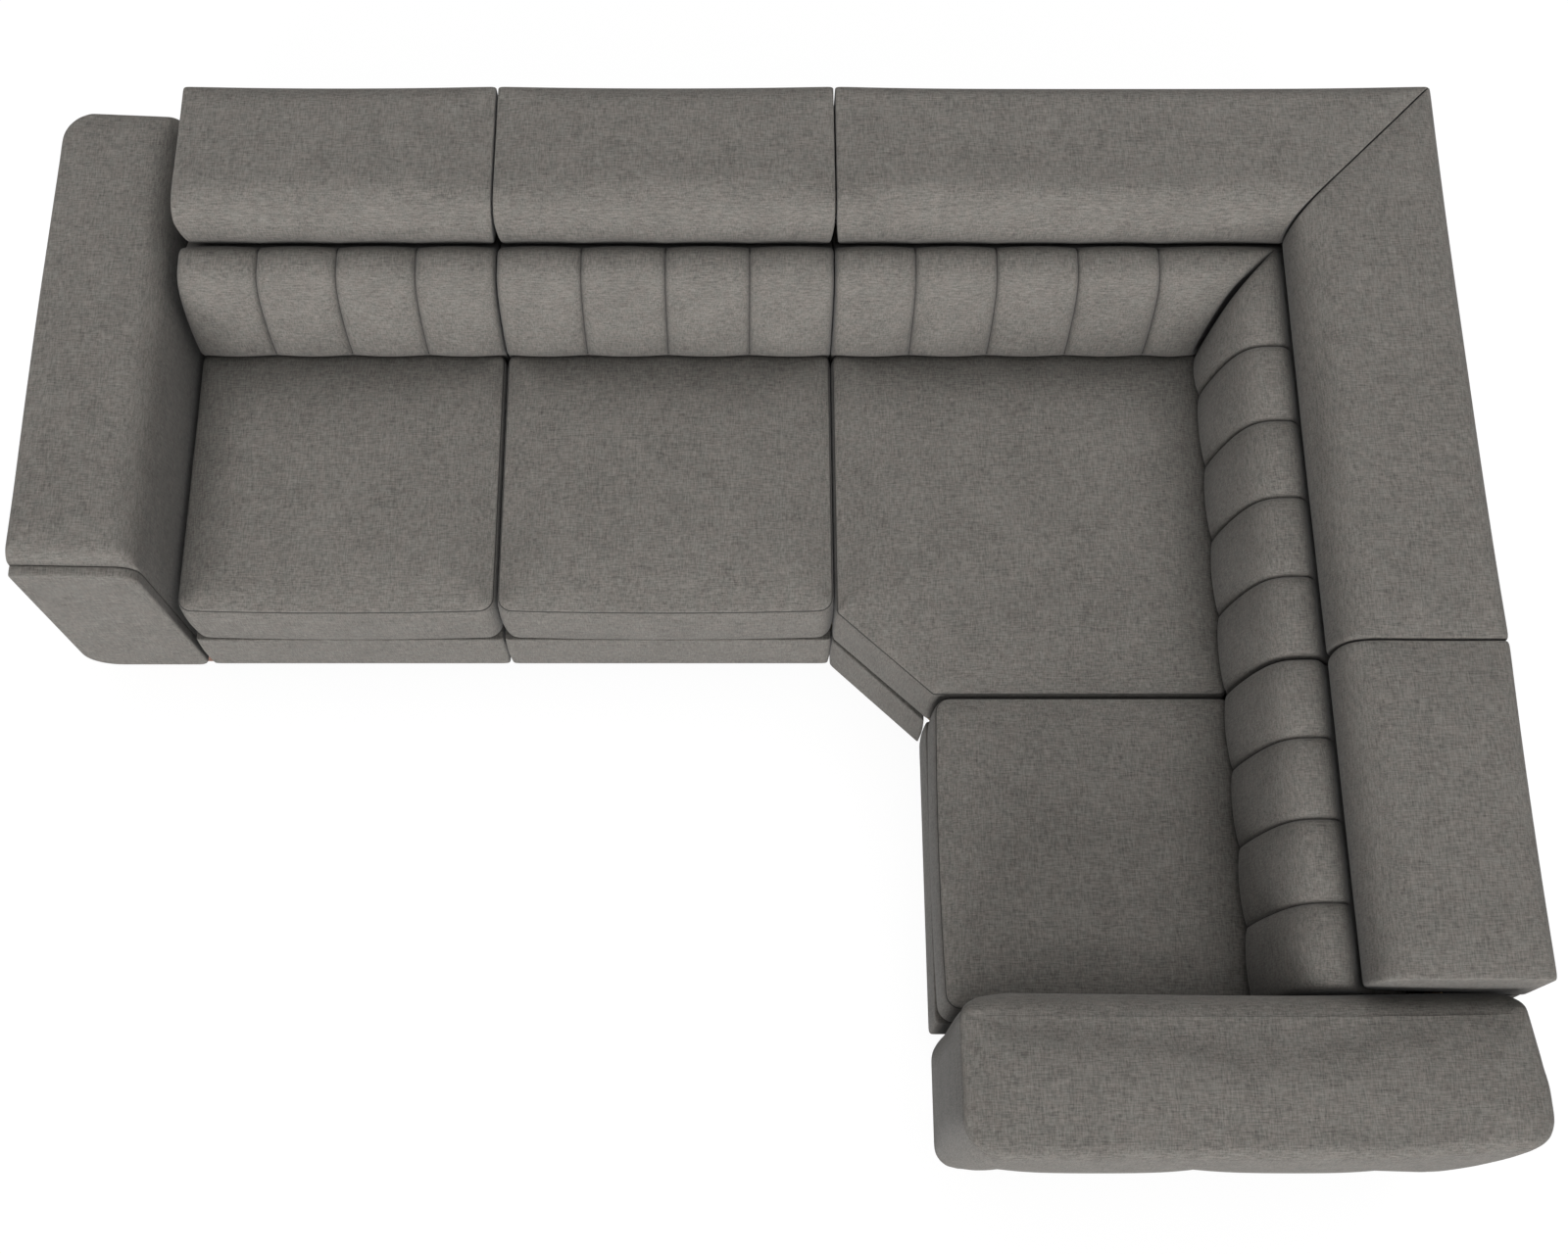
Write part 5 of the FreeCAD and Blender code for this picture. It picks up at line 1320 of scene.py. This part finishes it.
def block_levels():
    """The levels of the arm's rings from its foot to its top, and the row of the top seam."""
    levels, top_levels = [], []
    for step in range(ROLL_STEPS + 1):
        angle = math.pi / 2 * step / ROLL_STEPS
        up = block_low.z + low_round * (1 - math.cos(angle))
        levels.append((low_round * (1 - math.sin(angle)) + taper_at(up), up))
        top_levels.append((top_round * (1 - math.cos(angle)), BLOCK_TOP - top_round * (1 - math.sin(angle))))
    wall_start, wall_end = block_low.z + low_round, BLOCK_TOP - top_round
    wave = scallops()
    for step in range(1, WALL_STEPS):
        share = step / WALL_STEPS
        up = wall_start + (wall_end - wall_start) * share
        push = BLOCK_BULGE * math.sin(math.pi * share ** BULGE_BEND)
        push = push * (BULGE_SHARE - OUTER_BULGE_LOSS * facing_out)
        push = push + wave * min(1, SCALLOP_FADE * share, SCALLOP_FADE * (1 - share) + SCALLOP_TOP_SHARE)
        levels.append((taper_at(up) - push, up))
    levels += [(pull * sewn, wall_end - drop) for drop, pull in UNDER_SEAM]
    seam_row = len(levels)
    levels.append((BLOCK_SEAM * sewn, wall_end))
    levels.append((np.maximum(top_levels[1][0] - OVER_SEAM_PULL * sewn, 0),
                   np.maximum(top_levels[1][1] - OVER_SEAM_DROP, wall_end + OVER_SEAM_RISE)))
    return levels + top_levels[2:], seam_row


def block_crown(flat, gap):
    return BLOCK_TOP + BLOCK_CROWN * (1 - np.exp(-(gap / BLOCK_CROWN_REACH) ** 2))


levels, seam_row = block_levels()
rings = rings_on(block_loop, levels)
nx, ny = len(block_sides[0]) - 1, len(block_sides[1]) - 1
top = grid_over(rings[-1], nx, ny, block_crown)
low = grid_over(rings[0], nx, ny, lambda flat, gap: block_low.z)
right_arm = pad_on_plan("arm_right", rings, nx, ny, top, low)
count = len(block_loop)
held = np.zeros(len(right_arm.data.vertices))
for row in range(ROLL_STEPS + 3):
    held[row * count:(row + 1) * count] = 1
for row in range(seam_row - 1, seam_row + 2):
    held[row * count:(row + 1) * count] = np.maximum(held[row * count:(row + 1) * count], sewn)
held[len(held) - (nx - 1) * (ny - 1):] = 1
at_seam = np.abs(block_loop[:, 0][:, None] - np.array(outer_seams)[None]).min(1) < SEAM_CATCH
at_seam &= facing_out > FACING_SHARE
seam_columns = np.nonzero(at_seam)[0]
pairs = [(seam_row * count + k, seam_row * count + (k + 1) % count)
         for k in range(count) if sewn[k] > CREASED_SHARE]
for column in seam_columns:
    pairs += [(row * count + column, (row + 1) * count + column) for row in range(seam_row)]
    held[[row * count + column for row in range(seam_row + 1)]] = 1
crease_lines(right_arm, pairs, 0.9)
to_swell(right_arm, held, cap=0.0055, pressure=1.8,
         room=between(1, block_low.y - BLOCK_ROOM_OUT, block_high.y + BLOCK_ROOM_IN))
print("right arm rings:", len(rings), "seam columns:", len(seam_columns))

# %% [markdown]
# The outside of the backs is closed by plain covers: thin padded boards, turned in at their edges.

# %% Rear covers
REAR_EDGES = ((0.0035, 0), (0.0012, 0.0015), (0, 0.005))
REAR_BELLY = 0.0015
REAR_COUNTS = {"main": (34, 3), "side": (3, 34)}
REAR_CORNER_COUNTS = (96, 3)
BOARD_RADIUS = 0.004
BOARD_BEND_RADII = (0.002, 0.006)


def rear_cover(key, sides, low, high):
    cover = flat_pad(f"rear_{key}", sides, low, high, REAR_EDGES, REAR_BELLY, BOARD_STEP)
    dress(cover, [f"rear_cover_{key}"], woven)


for key, (run, *_) in MODULES.items():
    cover_low, cover_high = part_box(f"rear_cover_{key}")
    corners = box_corners(cover_low.x, cover_low.y, cover_high.x, cover_high.y)
    sides = four_sides(corners, [BOARD_RADIUS] * 4, (0, 1, 2, 3), REAR_COUNTS[run])
    rear_cover(key, sides, cover_low.z, cover_high.z)
cover_low, cover_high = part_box("rear_cover_corner")
board = cover_high.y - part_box("rear_cover_1")[0].y
corners = [(cover_low.x, cover_high.y - board), (cover_high.x - board, cover_high.y - board),
           (cover_high.x - board, cover_low.y), (cover_high.x, cover_low.y), (cover_high.x, cover_high.y),
           (cover_low.x, cover_high.y)]
inner_bend, outer_bend = BOARD_BEND_RADII
radii = [BOARD_RADIUS, inner_bend, BOARD_RADIUS, BOARD_RADIUS, outer_bend, BOARD_RADIUS]
sides = four_sides(corners, radii, (0, 2, 3, 5), REAR_CORNER_COUNTS)
rear_cover("corner", sides, cover_low.z, cover_high.z)
print("rear covers:", len(MODULES) + 1, "board", round(board, 4))

# %% [markdown]
# A thin black lining closes the tops of the back frames. It shows when a headrest is raised, and in the
# narrow gap before the right arm. There a strip of cover cloth also closes the end of the frame.

# %% Linings and the end strip
LINING_EDGES = ((0.0002, 0), (0, 0.0002))
LINING_LIFT = 0.0001
LINING_THICK = 0.0005
LINING_LEVEL_STEP = 0.0003
LINING_STEP = 0.05
LINING_INSET = 0.002
LINING_REAR = 0.0165
LINING_OVERHANG = 0.0002
END_CLOTH_EDGES = ((0.0004, 0), (0, 0.0006))
END_CLOTH_SPAN = (0.0016, 0.0002)
END_CLOTH_REACH = 0.009
END_CLOTH_RADIUS = 0.0005
END_CLOTH_COUNTS = (12, 3)


def on_the_frame(strip, material):
    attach(strip, "sofa")
    strip.data.materials.append(material)


lining = lining_material()
frame_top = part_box("back_frame_1")[1].z
lining_top = frame_top + LINING_THICK
lining_across = (LINING_REAR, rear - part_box("back_frame_1")[0].y - LINING_INSET)
for key, (run, low, high) in MODULES.items():
    start = low + LINING_INSET if run == "main" else low - LINING_OVERHANG
    sides = straight_sides(run, (start, high - LINING_INSET), lining_across, (LINING_INSET, LINING_INSET),
                           LINING_STEP, 0.0)
    strip = flat_pad(f"frame_lining_{key}", sides, frame_top + LINING_LIFT, lining_top, LINING_EDGES, 0.0,
                     LINING_LEVEL_STEP)
    on_the_frame(strip, lining)
end_low, end_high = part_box("back_frame_3")
outer_face, inner_face = [end_low.y - gap for gap in END_CLOTH_SPAN]
corners = box_corners(end_low.x, outer_face, end_high.x + END_CLOTH_REACH, inner_face)
end_sides = four_sides(corners, [END_CLOTH_RADIUS] * 4, (0, 1, 2, 3), END_CLOTH_COUNTS)
end_strip = flat_pad("frame_end_cloth", end_sides, end_low.z, lining_top, END_CLOTH_EDGES, 0.0, BOARD_STEP)
on_the_frame(end_strip, woven)
print("linings:", len(MODULES), "up to", round(lining_top, 4))

# %% [markdown]
# Now the cloth pass swells everything that is filled, and each piece then gets one subdivision, its
# cover and its body.

# %% Swell and dress
swell_all()
for key, (obj, *_) in seats.items():
    dress(smoothed(obj), [f"seat_cushion_{key}"], woven)
for key, obj in backs.items():
    dress(smoothed(obj), [f"back_cushion_{key}"], woven)
for obj, body, nodes in headrests:
    dress(smoothed(obj), nodes, woven, body)
dress(smoothed(left_arm), ["arm_cover_left"], woven)
dress(smoothed(right_arm), ["arm_cover_right", "arm_front_panel_right"], woven)
print("dressed pieces:", len(seats) + len(backs) + len(headrests) + 2)

# %% [markdown]
# Seams show as thin dark lines where the thread sits deep between two swells of cloth. Each groove of
# the backs and each seat seam gets such a thread, laid along the seam points of the swollen mesh; it is
# near black, darker than the cloth, so it paints the shade of the narrow valley. Below
# the seat seam runs a row of topstitches: short raised lengths of thread with gaps between them.

# %% Seam threads
THREAD_SIDES = 6
GROOVE_THREAD = 0.0016
SEAM_THREAD = 0.0022
STITCH_THREAD = 0.0010
STITCH_LENGTH = 0.0042
STITCH_PITCH = 0.0062
STITCH_CLEAR = 0.05
TWIST_SCALE = 900.0
TWIST_SHADE = 0.7


def thread_mesh(name, lines, radius):
    """One mesh of round threads along lines of points."""
    points, faces, base = [], [], 0
    for line in lines:
        line = np.asarray(line, float)
        along = np.gradient(line, axis=0)
        along /= np.linalg.norm(along, axis=1, keepdims=True)
        level = np.eye(3)[np.abs(along).max(0).argmin()]
        first = np.cross(along, level)
        first /= np.linalg.norm(first, axis=1, keepdims=True)
        second = np.cross(along, first)
        for centre, one, two in zip(line, first, second):
            for side in range(THREAD_SIDES):
                angle = 2 * math.pi * side / THREAD_SIDES
                points.append(centre + radius * (math.cos(angle) * one + math.sin(angle) * two))
        for row in range(len(line) - 1):
            for side in range(THREAD_SIDES):
                here, after = base + row * THREAD_SIDES, base + (row + 1) * THREAD_SIDES
                turn = (side + 1) % THREAD_SIDES
                faces.append((here + side, after + side, after + turn, here + turn))
        faces.append(tuple(base + side for side in range(THREAD_SIDES)))
        last = base + (len(line) - 1) * THREAD_SIDES
        faces.append(tuple(last + side for side in reversed(range(THREAD_SIDES))))
        base += len(line) * THREAD_SIDES
    obj = make_object(name, np.array(points), faces)
    faces_out(obj)
    return obj


def stitches_along(ring, rear_gap):
    """Short lengths along a closed ring of points, left out where it runs along the hidden rear."""
    closed = np.vstack([ring, ring[:1]])
    length = np.concatenate([[0], np.cumsum(np.linalg.norm(np.diff(closed, axis=0), axis=1))])
    pieces = []
    for start in np.arange(0, length[-1] - STITCH_PITCH, STITCH_PITCH):
        spots = start + STITCH_LENGTH * np.array([0, 0.5, 1])
        piece = np.column_stack([np.interp(spots, length, closed[:, k]) for k in range(3)])
        if rear_gap(piece).min() > STITCH_CLEAR:
            pieces.append(piece)
    return pieces


def thread_material(name, colour):
    """Thread whose twist shows as two close tones."""
    material, shader, w = new_material(name)
    twist = w.noise(w.add("ShaderNodeTexCoord").outputs["Object"], TWIST_SCALE)
    low = tuple(value * TWIST_SHADE for value in colour)
    w.feed(w.mix(twist, (*low, 1), (*colour, 1)), shader.inputs["Base Color"])
    shader.inputs["Roughness"].default_value = 0.8
    return material


# Painted shade: the seam and groove threads are near black, much darker than the cloth, to paint the shade
# in the narrow seam valleys.
seam_shade_thread = thread_material("seam_shade_thread", (0.030, 0.028, 0.026))
top_thread = thread_material("top_thread", (0.115, 0.107, 0.098))
threads = []
for key, (obj, seam, stitch) in seats.items():
    points = points_of(obj.data)
    ring = points[[*seam, seam[0]]]
    threads.append((thread_mesh(f"seam_seat_{key}", [ring], SEAM_THREAD), seam_shade_thread))
    pieces = stitches_along(points[list(stitch)], rear_gaps[key])
    threads.append((thread_mesh(f"stitches_seat_{key}", pieces, STITCH_THREAD), top_thread))
for key, obj in backs.items():
    points = points_of(obj.data)
    lines = [points[groove] for groove in grooves[obj.name]]
    threads.append((thread_mesh(f"seams_back_{key}", lines, GROOVE_THREAD), seam_shade_thread))
for obj, material in threads:
    on_the_frame(obj, material)
print("threads:", len(threads))

# %% [markdown]
# The fixed parts stay as they are and only get better materials. Timber shows growth rings as stretched
# bands, the arms' feet are the same wood under a red-brown stain, springs and hinges are bright zinc,
# the foam is pale with fine pores, and the feet under the middle are moulded black plastic.

# %% Materials of the fixed parts
def wood_material(name, pale, dark, rough):
    """Straight-grained wood: bands across, fibres along, and small pores."""
    material, shader, w = new_material(name)
    where = w.add("ShaderNodeTexCoord").outputs["Object"]
    bends = w.noise(where, 6.0, 2.0, 0.5)
    bands = w.noise(w.stretch(where, (9.0, 9.0, 60.0)), 1.0, 3.0, 0.55)
    fibres = w.noise(w.stretch(where, (70.0, 70.0, 620.0)), 1.0, 2.0, 0.6)
    mixed = w.weighed(bands, 0.6, fibres, 0.4)
    mixed = w.math("ADD", mixed, w.math("MULTIPLY", w.math("SUBTRACT", bends, 0.5), 0.25))
    w.feed(w.mix(w.ranged(mixed, 0.36, 0.64, 0.0, 1.0), (*pale, 1), (*dark, 1)), shader.inputs["Base Color"])
    w.feed(w.ranged(mixed, 0.3, 0.7, rough, rough + 0.15), shader.inputs["Roughness"])
    w.raised(shader, mixed, 0.25, 0.0005)
    return material


def grainy_material(name, first, second, scale, rough, grain_depth, metal=0.0):
    """A material of two close tones in small random grains."""
    material, shader, w = new_material(name)
    where = w.add("ShaderNodeTexCoord").outputs["Object"]
    fine = w.noise(where, scale, 3.0, 0.55)
    broad = w.noise(where, scale / 14, 2.0, 0.5)
    both = w.weighed(fine, 0.65, broad, 0.35)
    w.feed(w.mix(w.ranged(both, 0.36, 0.64, 0.0, 1.0), (*first, 1), (*second, 1)),
           shader.inputs["Base Color"])
    w.feed(w.ranged(both, 0.35, 0.65, rough[0], rough[1]), shader.inputs["Roughness"])
    w.raised(shader, fine, 0.3, grain_depth)
    shader.inputs["Metallic"].default_value = metal
    return material


timber = wood_material("frame timber", (0.52, 0.36, 0.20), (0.40, 0.26, 0.13), 0.6)
stained = wood_material("stained wood", (0.19, 0.072, 0.032), (0.11, 0.038, 0.017), 0.35)
foam = grainy_material("seat foam", (0.72, 0.68, 0.55), (0.62, 0.58, 0.45), 420.0, (0.85, 0.95), 0.0006)
zinc = grainy_material("zinc steel", (0.56, 0.57, 0.58), (0.48, 0.49, 0.51), 160.0, (0.3, 0.45), 0.0001, 1.0)
plastic = grainy_material("black plastic", (0.020, 0.020, 0.021), (0.028, 0.028, 0.029), 900.0,
                          (0.42, 0.55), 0.0001)
NODE_FINISHES = {
    "arm_frame": timber, "back_frame": timber, "base_frame": timber, "headrest_board": timber,
    "seat_foam": foam, "seat_springs": zinc, "hinge_arms": zinc, "hinge_brackets": zinc,
    "hinge_pins": zinc, "module_bolts": zinc, "hook_plates": zinc, "plastic_feet": plastic,
    "glides": plastic, "dust_covers": lining, "back_straps": lining, "wooden_feet": stained}
finished = 0
for name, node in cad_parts.items():
    for start, material in NODE_FINISHES.items():
        if name.startswith(start):
            node.data.materials.clear()
            node.data.materials.append(material)
            finished += 1
print("fixed parts with a finish:", finished)

# %% [markdown]
# Stage and light: most of the light falls softly from above, from a sky that brightens towards its top.
# A low, broad lamp in front lights the fronts and rolls, and a weak one behind keeps the rear from going
# black. The floor takes the shadow, but what the camera sees of floor and sky is lifted to white.
# The camera looks steeply down on the sofa from in front.

# %% Stage, lamps and camera
FLOOR_REACH = 12.0
FLOOR_TONE = 0.10
FLOOR_GLOW = 0.93
SKY_LEVEL = 0.03
SKY_TOP = 0.97
FRONT_LAMP = {"from_left": 4, "height": 15, "strength": 3.35, "softness": 35}
REAR_LAMP = {"from_left": -150, "height": 58, "strength": 0.62, "softness": 50}
LAMP_PLACE = (0, -4, 3)
CAMERA_PLACE = (0.0033, -1.3716, 4.1823)
CAMERA_TILT = 20.14
CAMERA_LENS = 44.775
CAMERA_SENSOR = 36
CAMERA_SHIFT = 0.026
WHITE = (1, 1, 1, 1)


def seen_directly(w):
    """1 where the camera sees the surface itself, in a mirror or through glass, and 0 for its light."""
    seen = w.add("ShaderNodeLightPath")
    direct = w.math("ADD", seen.outputs["Is Camera Ray"], seen.outputs["Is Glossy Ray"])
    return w.math("MINIMUM", w.math("ADD", direct, seen.outputs["Is Transmission Ray"]), 1.0)


def floor_material():
    """Floor that takes the shadow. What the camera sees directly is lifted towards white."""
    material, shader, w = new_material("floor")
    shader.inputs["Base Color"].default_value = (FLOOR_TONE, FLOOR_TONE, FLOOR_TONE, 1)
    shader.inputs["Roughness"].default_value = 0.9
    shader.inputs["Specular IOR Level"].default_value = 0.1
    shader.inputs["Emission Color"].default_value = WHITE
    w.feed(w.math("MULTIPLY", seen_directly(w), FLOOR_GLOW), shader.inputs["Emission Strength"])
    return material


def studio_sky():
    """Light that grows with the square of the height, and white where the camera sees it."""
    world = bpy.data.worlds.new("studio")
    world.use_nodes = True
    light = world.node_tree.nodes["Background"]
    light.inputs["Color"].default_value = WHITE
    w = Wiring(world.node_tree)
    height = w.add("ShaderNodeSeparateXYZ")
    w.feed(w.add("ShaderNodeTexCoord").outputs["Generated"], height.inputs[0])
    above = w.math("MAXIMUM", height.outputs["Z"], 0.0)
    level = w.ranged(w.math("MULTIPLY", above, above), 0.0, 1.0, SKY_LEVEL, SKY_TOP)
    w.feed(w.math("MAXIMUM", level, seen_directly(w)), light.inputs["Strength"])
    return world


def broad_lamp(name, from_left, height, strength, softness):
    """A far, broad lamp; angles in degrees round from straight in front and up from level."""
    data = bpy.data.lights.new(name, "SUN")
    data.energy = strength
    data.angle = math.radians(softness)
    lamp = bpy.data.objects.new(name, data)
    lamp.rotation_euler = (math.radians(90 - height), 0, math.radians(-from_left))
    lamp.location = LAMP_PLACE
    scene.collection.objects.link(lamp)


floor_mesh = bpy.data.meshes.new("floor")
floor_corners = box_corners(-FLOOR_REACH, -FLOOR_REACH, FLOOR_REACH, FLOOR_REACH)
floor_mesh.from_pydata([(x, y, 0) for x, y in floor_corners], [], [(0, 1, 2, 3)])
floor = bpy.data.objects.new("floor", floor_mesh)
scene.collection.objects.link(floor)
floor.data.materials.append(floor_material())
scene.world = studio_sky()
broad_lamp("lamp_front", **FRONT_LAMP)
broad_lamp("lamp_rear", **REAR_LAMP)

camera_data = bpy.data.cameras.new("camera")
camera_data.sensor_width = CAMERA_SENSOR
camera_data.lens = CAMERA_LENS
camera_data.shift_x = CAMERA_SHIFT
camera = bpy.data.objects.new("camera", camera_data)
camera.location = CAMERA_PLACE
camera.rotation_euler = (math.radians(CAMERA_TILT), 0, 0)
scene.collection.objects.link(camera)
scene.camera = camera
scene.view_settings.view_transform = "Standard"
print("lamps:", len(bpy.data.lights))
